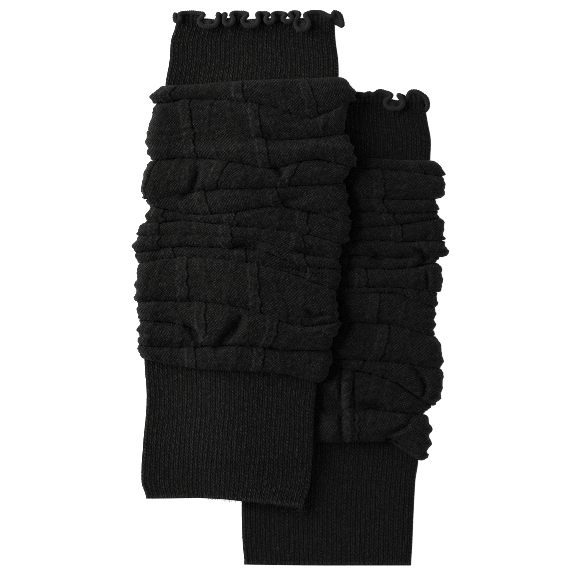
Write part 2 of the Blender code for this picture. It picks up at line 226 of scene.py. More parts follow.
LEFT_FOLDS = read_rows(Fold, """
top seam | -82.3 | 32.8 | 134.8 135.5 137.5 138.5 139 140.5 | 0 0 0 | 6.5 6.5 | 13 | -12 -10
first | -87.5 | 40.5 | 122.8 126 124.5 120.5 113 124.5 | 7 6 8 | 1.8 -1.5 | 15 | 0 8
right half | -92.8 | 37.2 | 105 103.5 102.5 98.5 99.5 102.5 | 0 0 0 5 8 7 | 3.5 3 | 16 | 8 6.5
long | -89.5 | 43 | 85 87 84 79.5 85.5 80.5 | 9 9 9 | 6.5 -2 | 16 | 29.5 26
oval | -93.2 | 36.5 | 59 63 66 66.5 68.5 69.5 | 0 5 9 9 8 7 | 1.5 1.2 | 14.5 | 16 18
wedge | -92.5 | 40 | 54.5 49.5 50 54.5 51 43.5 | 8 6 8 | 0.5 2 | 13 | -15 -10.5
thin | -96 | 36 | 43 44.5 42 39.5 36 29.5 | 7 7 5 | 3 0 | 13.5 | -11.5 -9
right dimple | -98.8 | 32.8 | 34.5 35.5 34.5 31.5 23.5 19.5 | 1 2 6 | 3.8 0.5 | 13.5 | -8.5 -7
pocket | -100.8 | 33.5 | 23.5 27.5 27 25.5 15.5 12.5 | 8 9 7 | 2 1.5 | 12 | 0.5 1.5
cord | -99 | 30.8 | 16.5 20 19 15.5 8 -1.5 | 5 6 6 8 8 8 | 2 0 | 16.5 | 10 12.2
swirl | -101.2 | 33.3 | -9 -8.5 -10 -16 -25.5 -22.5 | 9 9 8 | 0.5 1.5 | 16 | 21.5 23
diagonal | -99.3 | 29 | -21.5 -24 -31.5 -31 -34 -33 | 8 8 2 0 0 0 | 1 0.5 | 14.5 | 23 21
last | -99.5 | 25.8 | -38.5 -39.5 -38.5 -38.5 -41.5 -41.5 | 8 9 8 | 2 4.8 | 13 | 16 17
lower seam | -96.3 | 18.2 | -47.5 -52.5 -55 -55.5 -57 -63.5 | 0 0 0 | 0 0 | 0 | 10 10
""")
RIGHT_FOLDS = read_rows(Fold, """
top seam | -18 | 94 | 87.5 87 87 86.5 85 85 | 0 0 0 | 9.5 5.5 | 11 | 0 2
first | -34 | 100 | 81 80.5 80 79.5 77.5 74.5 | 6 6 7 | 1 4.8 | 14.5 | 23.3 25.5
second | -35 | 98 | 63.5 63 62.5 61 59 59.5 | 0 0 0 0 9 8 | 0.5 0.5 | 14 | 27 29.5
third | -35 | 98.3 | 53 52.5 51.5 51.5 49.5 51 | 6 6 6 | 0.5 1.5 | 14 | -15 -14
fourth | -35 | 99.6 | 41 40.5 40.5 40.5 42.5 46.5 | 7 7 7 | 0.5 3.5 | 13 | -13 -11.5
fifth | -35 | 100.2 | 31.5 31.5 31.5 32 31 31.5 | 5 6 8 | 0.5 5.5 | 13.5 | 3.5 3
pocket | -35 | 100.4 | 22.5 23 23 21.5 20.5 20.5 | 2 6 3 | 0.5 0.5 | 12.5 | 3 3
sixth | -35 | 97.2 | 15 15 14.5 13 12.5 16.5 | 7 8 8 | 0.5 4.9 | 14.5 | 14 14
seventh | -35 | 97.4 | 3.5 3 2.5 0.5 0 -3 | 7 8 6 | 0.5 1.5 | 13.5 | 3 3
branch | -35 | 97.1 | -5.5 -5.5 -5 -4.5 -3.5 -13 | 1 3 6 | 0.5 0.5 | 15 | 25.8 24.7
eighth | -35.5 | 96 | -23 -23.5 -24.5 -23 -24.5 -32.5 | 8 8 9 | 0.5 4.7 | 15.5 | 31.5 22.4
ninth | -36 | 98.7 | -43 -45 -46.5 -48 -50 -53.5 | 8 9 8 | 0.5 5.4 | 14 | 12 10
fan | -35.5 | 94.3 | -52.5 -52.5 -52.5 -55 -62.5 -78.7 | 6 7 8 | 0.5 0 | 15 | 9.5 10
flap | -35.5 | 89 | -76 -78.5 -80.5 -80.5 -82 -84.5 | 5 5 6 1 9 8 | 0.5 6.6 | 14.5 | 12.9 12.6
lower seam | -30 | 86 | -99 -100.5 -102.5 -104 -101 -115.5 | 0 0 0 | 0 0 | 0 | 14 14
""")

# %% Sections of the four cuffs
LEFT_TOP = (
    Row(-75.0, 30.2, (176.5,) * 6),
    Row(-78.5, 30.8, (165.0,) * 6),
    Row(-79.5, 32.5, (151.5,) * 6),
)
LEFT_LOWER = (
    Row(-94.8, 16.5, (-75.0, -76.0, -77.0, -77.0, -78.0, -80.0)),
    Row(-97.4, 15.5, (-108.0,) * 6),
    Row(-98.2, 13.5, (-130.0, -130.0, -130.5, -131.0, -132.0, -133.0)),
    Row(-94.8, 9.0, (-141.0, -140.8, -140.5, -142.5, -144.5, -147.0)),
)
RIGHT_TOP = (
    Row(-15.5, 90.5, (122.5,) * 6),
    Row(-17.5, 92.0, (112.0,) * 6),
    Row(-18.0, 94.3, (99.0,) * 6),
)
RIGHT_LOWER = (
    Row(-30.8, 84.1, (-128.5,) * 6),
    Row(-31.3, 82.9, (-150.0,) * 6),
    Row(-30.6, 82.0, (-172.0,) * 6),
    Row(-29.3, 81.2, (-185.0, -185.3, -185.6, -185.6, -185.6, -185.6)),
)
SUPPORTS = (
    Support(170.0, -16.0, 0.0),
    Support(133.0, -16.0, 6.6),
    Support(99.0, -18.0, 6.6),
    Support(90.0, -35.0, PRESSED_HEIGHT + PRESSED_CLEAR),
    Support(-105.0, -36.0, PRESSED_HEIGHT + PRESSED_CLEAR),
    Support(-130.0, -31.0, 6.3),
    Support(-150.0, -31.0, 6.2),
)
print(len(LEFT_FOLDS), "creases on the left body,", len(RIGHT_FOLDS), "on the right")


# %% [markdown]
# ## Lines and surfaces
#
# Every skin is a grid that is wrapped round its tube. These helpers turn the rows above into
# smooth lines, work out how high the left leg warmer lies where it climbs onto the right one,
# and round the folded sides. They work on whole arrays of points at once.

# %% Lines across a piece
def mix(first, second, share):
    """first where share is 0, second where it is 1."""
    return first + (second - first) * share


def ease(start, end, value):
    """0 up to start and 1 from end on, with a soft rise between them."""
    share = np.clip((value - start) / (end - start), 0.0, 1.0)
    return share * share * (3.0 - 2.0 * share)


def across(values, share):
    """A smooth line through evenly spaced stations."""
    values = np.asarray(values, float)
    place = np.clip(share, 0.0, 1.0) * (len(values) - 1)
    index = np.minimum(place.astype(int), len(values) - 2)
    part = place - index
    first, second = values[index], values[index + 1]
    before = values[np.maximum(index - 1, 0)]
    after = values[np.minimum(index + 2, len(values) - 1)]
    start_slope, end_slope = (second - before) / 2.0, (after - first) / 2.0
    cube = 2.0 * (first - second) + start_slope + end_slope
    bend = 3.0 * (second - first) - 2.0 * start_slope - end_slope
    return first + part * (start_slope + part * (bend + part * cube))


def seam_line(values, share):
    """Straight runs between sixths of the width, as at the seams of the solids."""
    knots = across(values, np.linspace(0.0, 1.0, SEAM_RUNS + 1))
    return np.interp(share, np.linspace(0.0, 1.0, SEAM_RUNS + 1), knots)


def unit(vectors):
    """The same directions, each 1 long."""
    return vectors / np.maximum(np.linalg.norm(vectors, axis=-1, keepdims=True), 1e-9)


# %% Where the left one climbs
SUPPORT_Y, SUPPORT_EDGE, SUPPORT_HEIGHT = np.array(SUPPORTS).T


def support_at(y):
    """Edge and height of the right leg warmer under the left one, at each Y."""
    index = np.clip(np.searchsorted(SUPPORT_Y[::-1], y), 1, len(SUPPORTS) - 1)
    low, high = len(SUPPORTS) - index, len(SUPPORTS) - 1 - index
    share = ease(0.0, 1.0, (y - SUPPORT_Y[low]) / (SUPPORT_Y[high] - SUPPORT_Y[low]))
    return (mix(SUPPORT_EDGE[low], SUPPORT_EDGE[high], share),
            mix(SUPPORT_HEIGHT[low], SUPPORT_HEIGHT[high], share))


def left_base(x, y):
    """Height of the left one's underside."""
    edge, height = support_at(y)
    share = np.clip((x - edge + STEP_OUT) / (STEP_OUT + STEP_IN), 0.0, 1.0)
    return height * share * share * (3.0 - 2.0 * share)


def right_base(x, y):
    """The right one lies on the floor."""
    return np.zeros_like(x)


def left_side_line():
    """Where the left leg warmer's right side runs, as (Y, X) places from its lower end upwards."""
    places = [(row.y[-1], row.right) for row in LEFT_LOWER[::-1]]
    for upper, lower in zip(LEFT_FOLDS[-2::-1], LEFT_FOLDS[:0:-1]):
        places.append((lower.y[-1], lower.right))
        places.append((mix(lower.y[-1], upper.y[-1], 0.5),
                       mix(lower.right, upper.right, 0.5) + upper.bulge[1]))
    return np.array(places)


LEFT_SIDE_Y, LEFT_SIDE_X = left_side_line().T


def unpressed(x, y):
    """The left body lies free, so its folds keep their whole height."""
    return np.ones_like(x)


def right_press(x, y):
    """How much of its height a fold of the right body keeps under and beside the left one."""
    beside = x - np.interp(y, LEFT_SIDE_Y, LEFT_SIDE_X)
    return mix(PRESSED_SHARE, 1.0, ease(PRESS_STARTS, PRESS_ENDS, beside))


def round_side(distance, radius):
    """0 at a folded side and 1 from radius on, along a quarter circle."""
    share = 1.0 - np.clip(distance / radius, 0.0, 1.0)
    return np.sqrt(1.0 - share * share)


print("left one climbs to", float(left_base(np.array([0.0]), np.array([0.0]))[0]), "mm")


# %% [markdown]
# ## One grid for a whole wall of cloth
#
# A flattened tube with a wall has an outer skin, an inner skin and two cut ends. One grid can be
# all four: its columns run round the tube, and its rows run down the outside, over the cut end
# and back up the inside. Welding its first and last column and its first and last row closes it,
# so nothing needs bridging. The UV map is set before the weld, in millimetres of cloth, so a
# stitch keeps its size on every fold.

# %% Wrapping a grid
def wrap_cloth(name, points, cloth_uv, pattern, material):
    """A closed wall from one grid. points, cloth_uv and pattern are arrays over (row, column)."""
    rows, columns = points.shape[:2]
    points[:, -1] = points[:, 0]
    bm = bmesh.new()
    bmesh.ops.create_grid(bm, x_segments=columns - 1, y_segments=rows - 1, size=1.0)
    uv_layer = bm.loops.layers.uv.new("cloth in mm")
    raised = bm.verts.layers.float.new("raised")
    for vertex in bm.verts:
        column = round((vertex.co.x + 1.0) / 2.0 * (columns - 1))
        row = round((vertex.co.y + 1.0) / 2.0 * (rows - 1))
        vertex.index = row * columns + column
    flat_uv = cloth_uv.reshape(-1, 2).tolist()
    for face in bm.faces:
        for loop in face.loops:
            loop[uv_layer].uv = flat_uv[loop.vert.index]
        face.smooth = True
    flat_points = (points.reshape(-1, 3) * MM).tolist()
    flat_pattern = np.broadcast_to(pattern, (rows, columns)).ravel().tolist()
    for vertex in bm.verts:
        vertex.co = flat_points[vertex.index]
        vertex[raised] = flat_pattern[vertex.index]
    border = [v for v in bm.verts if v.is_boundary]
    bmesh.ops.remove_doubles(bm, verts=border, dist=0.002 * MM)
    bmesh.ops.recalc_face_normals(bm, faces=bm.faces)
    open_edges = sum(edge.is_boundary for edge in bm.edges)
    print(name, len(bm.faces) * 2, "triangles,", open_edges, "open edges")
    return add_object(name, bm, material)


# %% Shares round a tube
def close_marks(count, corner, corner_count):
    """Shares across the front or the underside, closer together at the folded sides."""
    side = corner * (1.0 - np.cos(np.linspace(0.0, np.pi / 2, corner_count + 1)))
    middle = np.linspace(corner, 1.0 - corner, count - 2 * corner_count + 1)
    return np.concatenate([side[:-1], middle, 1.0 - side[-2::-1]])


def spread_marks(left, right, marks, inside):
    """X of each mark between two sides, its distance from a side and its shift inwards."""
    fluff, margin = (0.0, SIDE_WALL) if inside else (FLUFF, 0.0)
    left, right = left[:, None] - fluff, right[:, None] + fluff
    to_side = np.minimum(marks, 1.0 - marks)
    inward = margin * np.maximum(1.0 - to_side * SEAM_RUNS, 0.0)
    shift = np.where(marks < 0.5, inward, -inward)
    distance = np.maximum(to_side * (right - left) + inward - margin, 0.0)
    return mix(left, right, marks) + shift, distance, shift


def whole_skin(make_skin, rows, front, back, inside, *shape):
    """The outer or the inner skin all the way round: its front, its underside, its first column."""
    over = make_skin(rows, front, inside, False, *shape)
    below = make_skin(rows, back, inside, True, *shape)
    return np.concatenate([over, below[:, -2:0:-1], over[:, :1]], axis=1)


def round_shares(front, back):
    """How far round the tube each column is: 0 and 1 at the left side, 0.5 at the right one."""
    return np.concatenate([front / 2.0, 1.0 - back[-2:0:-1] / 2.0, [1.0]])


# %% Unevenness
RANDOM = np.random.default_rng(7)


def make_ripple(count, longest_x, longest_y):
    """A sum of soft waves, so that no two places on the cloth are quite alike."""
    spread = RANDOM.uniform(0.45, 1.0, (count, 2))
    sign = RANDOM.choice([-1.0, 1.0], count)
    turns = np.stack([sign / (longest_x * spread[:, 0]), 1.0 / (longest_y * spread[:, 1])])
    phase = RANDOM.uniform(0.0, 2.0 * np.pi, count)
    return turns * 2.0 * np.pi, phase


def ripple(waves, x, y):
    """Height of such a sum at each place, about -2 to 2."""
    turns, phase = waves
    total = sum(np.sin(turns[0, i] * x + turns[1, i] * y + phase[i]) for i in range(len(phase)))
    return total / math.sqrt(len(phase))


BROAD_WAVES = make_ripple(7, 60.0, 34.0)
LONG_WRINKLES = make_ripple(9, 42.0, 9.0)
SMALL_WRINKLES = make_ripple(9, 11.0, 7.0)
SIDE_WAVES = make_ripple(7, 60.0, 12.0)
STITCH_WAVES = make_ripple(14, 4.5, 3.6)

# %% Wrinkles placed one by one
# A trough from start through middle to end, width and depth in mm; a ridge has a negative depth.
Wrinkle = namedtuple("Wrinkle", "name start middle end width depth")

LEFT_WRINKLES = read_rows(Wrinkle, """
under the oval | -59.8 80 | -61 67 | -70 59.7 | 2.4 | 3.6
wedge left | -57 66.2 | -52 65 | -45 65.5 | 2.6 | 3
wedge right | -6 58 | 2 58.5 | 12 60.5 | 3.4 | 5.5
wedge branch | -2.7 55.7 | 16 45.5 | 37 52.3 | 2 | 3.5
pocket | -36 27.5 | -28.5 28.6 | -20 26.5 | 3 | 9
pocket right | 5 24.5 | 12 23.7 | 32 20.5 | 2.6 | 9
swirl | 12.7 -15.7 | 15 -21.5 | 30 -17 | 1.9 | 4
diagonal | -32 -21 | -38 -31.5 | -47 -38.5 | 3.4 | 8
spot | -67 -27 | -61.5 -30 | -60 -36 | 2.8 | 7
left branch | -84 -36.5 | -73 -38 | -62 -38.5 | 1.8 | 3
converging | -4 14 | 14 10.5 | 31 4.5 | 1.9 | 4.5
notch | -9.5 80 | -6.5 77 | -3.5 73.5 | 2.2 | 5
dimple | -17 103 | -9.5 101 | -3 96.5 | 4 | 3.5
faint | 14 113.5 | 22 108 | 31 105 | 1.8 | 1.6
bright ridge | 7 94 | 22 95 | 40 92.5 | 3.5 | -1.6
cord ridge | -30 10.5 | 0 5 | 28 -2 | 3.5 | -1
broad dip | -72 2 | -50 5.5 | -28 3 | 5 | 1.3
last dip | -30 -45.5 | -8 -47.5 | 14 -50.5 | 2.6 | 1.6
""")
RIGHT_WRINKLES = read_rows(Wrinkle, """
upright left | 35 -54 | 34.3 -76 | 35.5 -100 | 1.5 | 3.6
upright ridge | 38.8 -54 | 38.5 -76 | 39.5 -100 | 2.6 | -1.8
upright right | 43 -55 | 42.6 -76 | 44.5 -96 | 1.5 | 2.2
hollow | 16 -72 | 27 -77.5 | 33.5 -84 | 6.5 | 9
fan inner | 82 -54 | 93 -60 | 90.5 -72 | 2.2 | 4.5
flap pocket | 49 -78.5 | 56 -80 | 64 -80 | 3 | 5.5
pocket | 55.5 24 | 59 20.5 | 62 18 | 3.2 | 6
pocket long | 60 20.5 | 72 19.5 | 82 20.5 | 2 | 4
star | 86.5 24.5 | 90 21.5 | 94 17.5 | 2.4 | 6
star low | 84 15.5 | 89 16 | 96 19 | 1.9 | 4.5
hem crease | 63 -98 | 76 -96.5 | 82 -87 | 1.8 | 3.2
hem crease low | 65 -100.5 | 71 -104 | 75.5 -108.5 | 1.7 | 5
side nick | 88 26 | 91 22 | 95 20.5 | 1.8 | 2
side nick high | 89 31.5 | 92 34 | 95 38 | 1.8 | 2
roll dip | 52 72.5 | 66 70.5 | 84 69.5 | 2.6 | 1.4
side line | 92.5 12 | 92.5 5 | 92.8 -1 | 1.3 | 2.2
side ridge | 96.5 11.5 | 97 5 | 96.5 0 | 2.2 | -1.3
long dip | 44 -34 | 62 -36.5 | 86 -40 | 3 | 1.4
""")


def wrinkle_depth(wrinkles, x, y):
    """How far the wrinkles sink the cloth at each point; each fades out towards its ends."""
    total = np.zeros_like(x)
    for wrinkle in wrinkles:
        start, middle, end = (np.array(p) for p in (wrinkle.start, wrinkle.middle, wrinkle.end))
        nearest = np.full_like(x, 1e9)
        strength = np.zeros_like(x)
        for along in np.linspace(0.0, 1.0, 17):
            px, py = mix(mix(start, middle, along), mix(middle, end, along), along)
            distance = (x - px) ** 2 + (y - py) ** 2
            closer = distance < nearest
            nearest = np.where(closer, distance, nearest)
            strength = np.where(closer, math.sin(math.pi * mix(0.08, 0.92, along)) ** 0.6, strength)
        total += wrinkle.depth * strength * np.exp(-nearest / wrinkle.width ** 2)
    return total


# %% [markdown]
# ## The bodies
#
# The body is a wide tube in a patterned knit, about 300 mm of it pushed into 193 mm. Between two
# creases the cloth stands up in a half-round roll, so the points of a row go round half an
# ellipse, from one crease line to the next. A simulation would fold it at random; placing each
# crease keeps the folds of this pair. The knit itself has narrow raised bands down the leg with
# a sunk line beside each, and a row of ovals between the bands.

# %% Knit relief of a body
BAND_PITCH = 48.7        # mm of cloth from one raised band to the next
BAND_CENTRE = 20.7
BAND_HALF = 3.4
BAND_RISE = 0.6
OVAL_LENGTH = 58.0       # mm down the leg from one oval to the next
OVAL_MIDDLE = 44.0
OVAL_HALF = 8.0
OVAL_SWING = 3.4
STRIP_HALF = 2.2
STRIP_RISE = 0.3
OVAL_PURL = 0.6          # an oval's strips are half purl, half ground
BAND_SUNK = 0.5          # depth of the line beside a band
BAND_EDGE_PAINTED_HIGHLIGHT = 0.45        # painted highlight: how much lighter the yarn is painted along both edges of a band


def strip_relief(across_strip, half, rise, sunk, light):
    """A raised purl strip between two edges with a painted highlight, with a sunk line to its
    right.

    The second value is how far the knit is purl, with painted light: 1 is the strip, more is an
    edge's painted highlight, -1 the line's painted shade.
    """
    top = ease(-half - 1.0, -half + 0.4, across_strip)
    top = top * (1.0 - ease(half - 0.3, half + 0.3, across_strip))
    line = np.exp(-((across_strip - half - 0.7) / 0.45) ** 2)
    edges = np.exp(-((np.abs(across_strip) - half + 0.3) / 0.5) ** 2)
    return rise * top - sunk * line, top + light * edges - line * sunk / BAND_SUNK


def body_pattern(u, v):
    """Height of the knitted pattern, and how far it is purl with the painted light of band edges
    and lines, from the place on the cloth in mm.
    """
    from_band = (u - BAND_CENTRE + BAND_PITCH / 2) % BAND_PITCH - BAND_PITCH / 2
    height, purl = strip_relief(from_band, BAND_HALF, BAND_RISE, BAND_SUNK, BAND_EDGE_PAINTED_HIGHLIGHT)
    from_oval = (u - BAND_CENTRE) % BAND_PITCH - BAND_PITCH / 2
    reach = OVAL_HALF + OVAL_SWING * np.cos(2.0 * np.pi * (v - OVAL_MIDDLE) / OVAL_LENGTH)
    for side in (-1.0, 1.0):
        rise, top = strip_relief(from_oval - side * reach, STRIP_HALF, STRIP_RISE, 0.0, 0.0)
        height, purl = height + rise, purl + OVAL_PURL * top
    return height, purl


# %% Skin of a body
SIDE_SWING = 0.8         # mm that a folded side wanders in and out
LOBE_FULLNESS = 0.6      # under 1, a roll's end is squarer than half an ellipse
SEAM_LAP = 0.42          # mm that the last stitches reach over the seam, so that no floor shows
NARROW_CREST = 1.2       # mm that a roll of no width would stand above its creases
CREST_GROWTH = 1.15      # and how much more for each mm of half its width
BROAD_RISE, LONG_RISE, SMALL_RISE = 0.55, 0.28, 0.12    # mm, of the three kinds of unevenness
LOOSE_FROM = 12.0        # mm from a side where the cloth is fully uneven


def roll_ends(folds, index, turn, swell):
    """X of both folded sides in each row: from crease to crease, with the roll's bulge."""
    bulges = np.array([fold.bulge for fold in folds], float)
    lobe = swell ** LOBE_FULLNESS
    sides = []
    for number, side, outward in ((0, "left", -1.0), (-1, "right", 1.0)):
        end_x = np.array([getattr(fold, side) for fold in folds])
        end_y = np.array([fold.y[number] for fold in folds])
        end_x = mix(end_x[index], end_x[index + 1], turn) + outward * bulges[index, number] * lobe
        end_y = mix(end_y[index], end_y[index + 1], turn)
        swing = SIDE_SWING * ripple(SIDE_WAVES, outward * 50.0, end_y) * ease(0.1, 0.6, swell)
        sides.append(end_x + outward * swing)
    return sides


def body_skin(rows, marks, inside, under, folds, base, press, wrinkles):
    """Points of one side of a body: its front or underside, outer or inner skin."""
    index = np.array([row[0] for row in rows])
    angle = np.array([row[1] for row in rows])[:, None]
    turn, swell = (1.0 - np.cos(angle)) / 2.0, np.sin(angle)
    left, right = roll_ends(folds, index, turn[:, 0], swell[:, 0])
    x, distance, shift = spread_marks(left, right, marks, inside)
    share = np.clip(marks + shift / BODY_WIDTH, 0.0, 1.0)

    lines = np.array([across(fold.y, share) for fold in folds])
    lines[0] = seam_line(folds[0].y, share) - SEAM_SHIFT
    lines[-1] = seam_line(folds[-1].y, share) + SEAM_SHIFT
    crests = np.array([fold.crest for fold in folds], float)
    heights = np.array([across(fold.deep, share) for fold in folds])
    heights[1:] = np.maximum(crests[:-1], crests[1:])[:, None] - heights[1:]
    heights[0] = heights[-1] = SEAM_HEIGHT
    first, last = lines[index], lines[index + 1]
    high, low = heights[index], heights[index + 1]
    half = (first - last) / 2.0
    crest = np.maximum(high, low) + NARROW_CREST + CREST_GROWTH * half
    crest = np.minimum(crests[index][:, None], crest)
    near = np.where(angle < np.pi / 2, high, low)
    y = mix(first, last, turn) - LEAN_SHARE * half * swell
    if not inside and not under:
        y[[0, -1]] += np.array([[SEAM_LAP], [-SEAM_LAP]]) * ease(0.2, 1.5, distance[[0, -1]])
    fullness = swell if inside else mix(swell ** 2, swell ** FLATNESS, ease(1.5, 5.0, crest - near))
    top = np.maximum(near + (crest - near) * fullness, SEAM_HEIGHT)
    if inside:
        out_y = np.cos(angle) / np.maximum(half, 1.0)
        out_z = swell / np.maximum(abs(crest - near), 1.0)
        length = np.hypot(out_y, out_z) + 1e-9
        hollow = top - BODY_WALL * np.maximum(out_z / length, 0.6)
        filled = np.maximum(mix(high, low, turn), SEAM_HEIGHT) - BODY_WALL
        filled = mix(np.minimum(filled, hollow), hollow, ease(1.5, 5.5, half))
        top = np.where(swell < 0.01, top - BODY_WALL, filled)
        inwards = np.minimum(0.75 * BODY_WALL, 0.4 * half) * out_y / length
        y = y - np.where(swell < 0.01, 0.0, inwards)
        top = SEAM_HEIGHT + (top + BODY_WALL - SEAM_HEIGHT) * press(x, y) - BODY_WALL
        top = np.clip(top, BODY_WALL + LAYER_GAP, BODY_WALL + HOLLOW_HEIGHT)
        middle = np.maximum(BODY_WALL + LAYER_GAP / 2.0, EDGE_SHARE * top)
    else:
        at_seam = (index == 0) & (angle[:, 0] < 0.4)
        at_seam |= (index == len(folds) - 2) & (angle[:, 0] > 2.7)
        loose = np.where(at_seam, 0.0, 1.0)[:, None] * ease(0.0, LOOSE_FROM, distance)
        top = top + loose * BROAD_RISE * ripple(BROAD_WAVES, x, y) * ease(3.0, 9.0, half)
        top = top + loose * LONG_RISE * ripple(LONG_WRINKLES, x, y) * ease(2.0, 8.0, half)
        top = top + loose * SMALL_RISE * ripple(SMALL_WRINKLES, x, y)
        top = top - loose * wrinkle_depth(wrinkles, x, y)
        top = np.maximum(SEAM_HEIGHT + (top - SEAM_HEIGHT) * press(x, y), SEAM_HEIGHT - 0.2)
        middle = EDGE_SHARE * top
    wall = BODY_WALL if inside else 0.0
    end, radius = (wall, UNDER_CORNER) if under else (top, BODY_CORNER - wall)
    z = base(x, y) + mix(middle, end, round_side(distance, radius))
    return np.stack([x, y, z], axis=2)


# %% Cloth measured along a skin
EVEN_OVER = 9            # columns to each side that a length is averaged over
STEEP_SHARE = 0.35       # of a climb that counts, because the stitches spread on a steep side


def slide_rows(folds, rows):
    """How far the knitted pattern has slid sideways in each row of a fold."""
    slides = [mix(*folds[index].slide, (1.0 - math.cos(angle)) / 2.0) for index, angle in rows]
    return np.array(slides)[:, None]


def cloth_down(points, rows):
    """How far down the cloth each point is: stitch rows run level along the crest of every roll."""
    steps = np.linalg.norm(np.diff(points * (1.0, 1.0, STEEP_SHARE), axis=0), axis=2)
    lengths = np.concatenate([np.zeros((1, points.shape[1])), np.cumsum(steps, axis=0)])
    before, after = lengths[:, -EVEN_OVER - 1:-1], lengths[:, 1:EVEN_OVER + 1]
    padded = np.concatenate([before, lengths, after], axis=1)
    shifted = [padded[:, i:i + lengths.shape[1]] for i in range(2 * EVEN_OVER + 1)]
    lengths = np.mean(shifted, axis=0)
    fold_numbers = np.array([row[0] for row in rows])
    from_crest = np.array([abs(row[1] - math.pi / 2) for row in rows])
    for number in np.unique(fold_numbers):
        here = np.flatnonzero(fold_numbers == number)
        crest = lengths[here[np.argmin(from_crest[here])]]
        lengths[here] += crest.mean() - crest
    return lengths


def add_relief(points, relief, keep):
    """Push points out along the skin's own slope by the relief, where keep is above 0."""
    normal = unit(np.cross(np.gradient(points, axis=1), -np.gradient(points, axis=0)))
    return points + normal * (relief * keep)[:, :, None]


def soft_grain(shape, passes):
    """Fixed random lumps a few points wide, for yarn that is never quite even."""
    grain = RANDOM.normal(0.0, 1.0, shape)
    for _ in range(passes):
        for axis in (0, 1):
            grain = (np.roll(grain, 1, axis) + 2.0 * grain + np.roll(grain, -1, axis)) / 4.0
    return grain / grain.std()


# %% Building a body
BODY_ROUND = 274.0       # mm of cloth round the body
FRONT_MARKS = (216, 0.07, 18)          # columns, then the share and columns of a rounded side
BACK_MARKS = (44, 0.06, 6)
OUTER_ROWS, INNER_ROWS = 1.15, 0.17    # rows for each mm round a roll
ROLL_EXTRA = 7.0         # mm that a roll is longer than it is wide
RELIEF_FROM = 6.0        # rows from a cut end where the relief is whole
GRAIN_HEIGHT = 0.11
STITCH_LUMP = 0.16       # mm; it shows along the outline, against the white paper


def body_rows(folds, density):
    """Every row down a body, as the fold above it and the angle round its roll."""
    rows = []
    for index, fold in enumerate(folds[:-1]):
        width = abs(np.mean(fold.y) - np.mean(folds[index + 1].y))
        count = max(3, round((width + ROLL_EXTRA) * density))
        rows += [(index, math.pi * step / count) for step in range(count)]
    return rows + [(len(folds) - 2, math.pi)]


def make_body(name, folds, base, press, wrinkles, material, plain_side):
    """A body; plain_side is the share of its front, at the right side, where no band shows."""
    front, back = close_marks(*FRONT_MARKS), close_marks(*BACK_MARKS)
    outer_rows = body_rows(folds, OUTER_ROWS)
    inner_rows = body_rows(folds, INNER_ROWS)[::-1]
    shape = folds, base, press, wrinkles
    outer = whole_skin(body_skin, outer_rows, front, back, False, *shape)
    inner = whole_skin(body_skin, inner_rows, front, back, True, *shape)
    share = round_shares(front, back)
    u, v = share * BODY_ROUND, cloth_down(outer, outer_rows)

    from_end = np.minimum(np.arange(len(v)), len(v) - 1 - np.arange(len(v)))
    from_end = ease(0.0, RELIEF_FROM, from_end)[:, None]
    keep = from_end * np.where(share <= 0.5, 1.0, 0.0)
    near_under = 1.0 - ease(0.0, 0.01, np.minimum(share - 0.5, 1.0 - share))
    keep_stitches = np.maximum(keep, from_end * near_under)
    keep = keep * ease(0.0, 0.01, np.minimum(share, np.abs(0.5 - share)))
    height, purl = body_pattern(u - slide_rows(folds, outer_rows), v)
    shown = 1.0 - ease(0.97 - plain_side, 1.0 - plain_side, share * 2.0)
    height, purl = height * shown, purl * shown
    outer = add_relief(outer, height + GRAIN_HEIGHT * soft_grain(v.shape, 2), keep)
    outer = add_relief(outer, STITCH_LUMP * ripple(STITCH_WAVES, u, v), keep_stitches)
    outer[:, :, 2] = np.maximum(outer[:, :, 2], 0.0)

    points = np.concatenate([outer, inner, outer[:1]])
    length = v[-1].mean()
    inner_v = np.append(np.linspace(length, length * 2.0, len(inner_rows)), length * 2.0 + 2.0)
    all_v = np.concatenate([v, np.broadcast_to(inner_v[:, None], (len(inner_v), len(share)))])
    uv = np.stack([np.broadcast_to(u, all_v.shape), all_v], axis=2)
    pattern = np.concatenate([purl * (share < 0.5), np.zeros((len(inner_v), len(share)))])
    piece = wrap_cloth(name, points, uv, pattern, material)
    steps = np.linalg.norm(np.diff(outer[:, 20:200], axis=0), axis=2)
    print("  cloth along the front:", round(float(steps.sum(axis=0).mean())), "mm")
    return piece


# %% [markdown]
# ## Knit materials
#
# The yarn is black acrylic with a little stretch: matt, with loose fibre ends that catch light
# at a grazing angle. A dark base colour, a rough surface and sheen give that. The stitches of
# the body are too fine for a mesh, so they are bump on the cloth's own UV map: a diagonal of
# 2 mm in the ground, and dotted purl rows on the raised bands. Their colour carries painted
# shade: the yarn is painted darker down between the stitches and lighter on their tops.

# %% Yarn
STITCH_GAP_PAINTED_SHADE = "#000000"   # painted shade, down between the stitches
YARN_LIGHT = "#3c3c3d"   # on top of them
YARN_TOP_IN_PAINTED_SHADE = "#353536"     # on top of the right leg warmer's stitches: painted shade, darker and lower in contrast for the shade it lies in beside the left one


def knit_shader(name):
    """A material with the yarn's finish; returns it with its tree, UV and pattern sockets."""
    material = bpy.data.materials.new(name)
    material.use_nodes = True
    tree = material.node_tree
    set_inputs(tree.nodes["Principled BSDF"], Roughness=0.92, Specular_IOR_Level=0.2,
               Sheen_Weight=0.09, Sheen_Roughness=0.5, Sheen_Tint=linear("#9a9a9c"))
    cloth = add_node(tree, "ShaderNodeUVMap", {"uv_map": "cloth in mm"}).outputs["UV"]
    raised = add_node(tree, "ShaderNodeAttribute", {"attribute_name": "raised"}).outputs["Fac"]
    return material, tree, cloth, raised


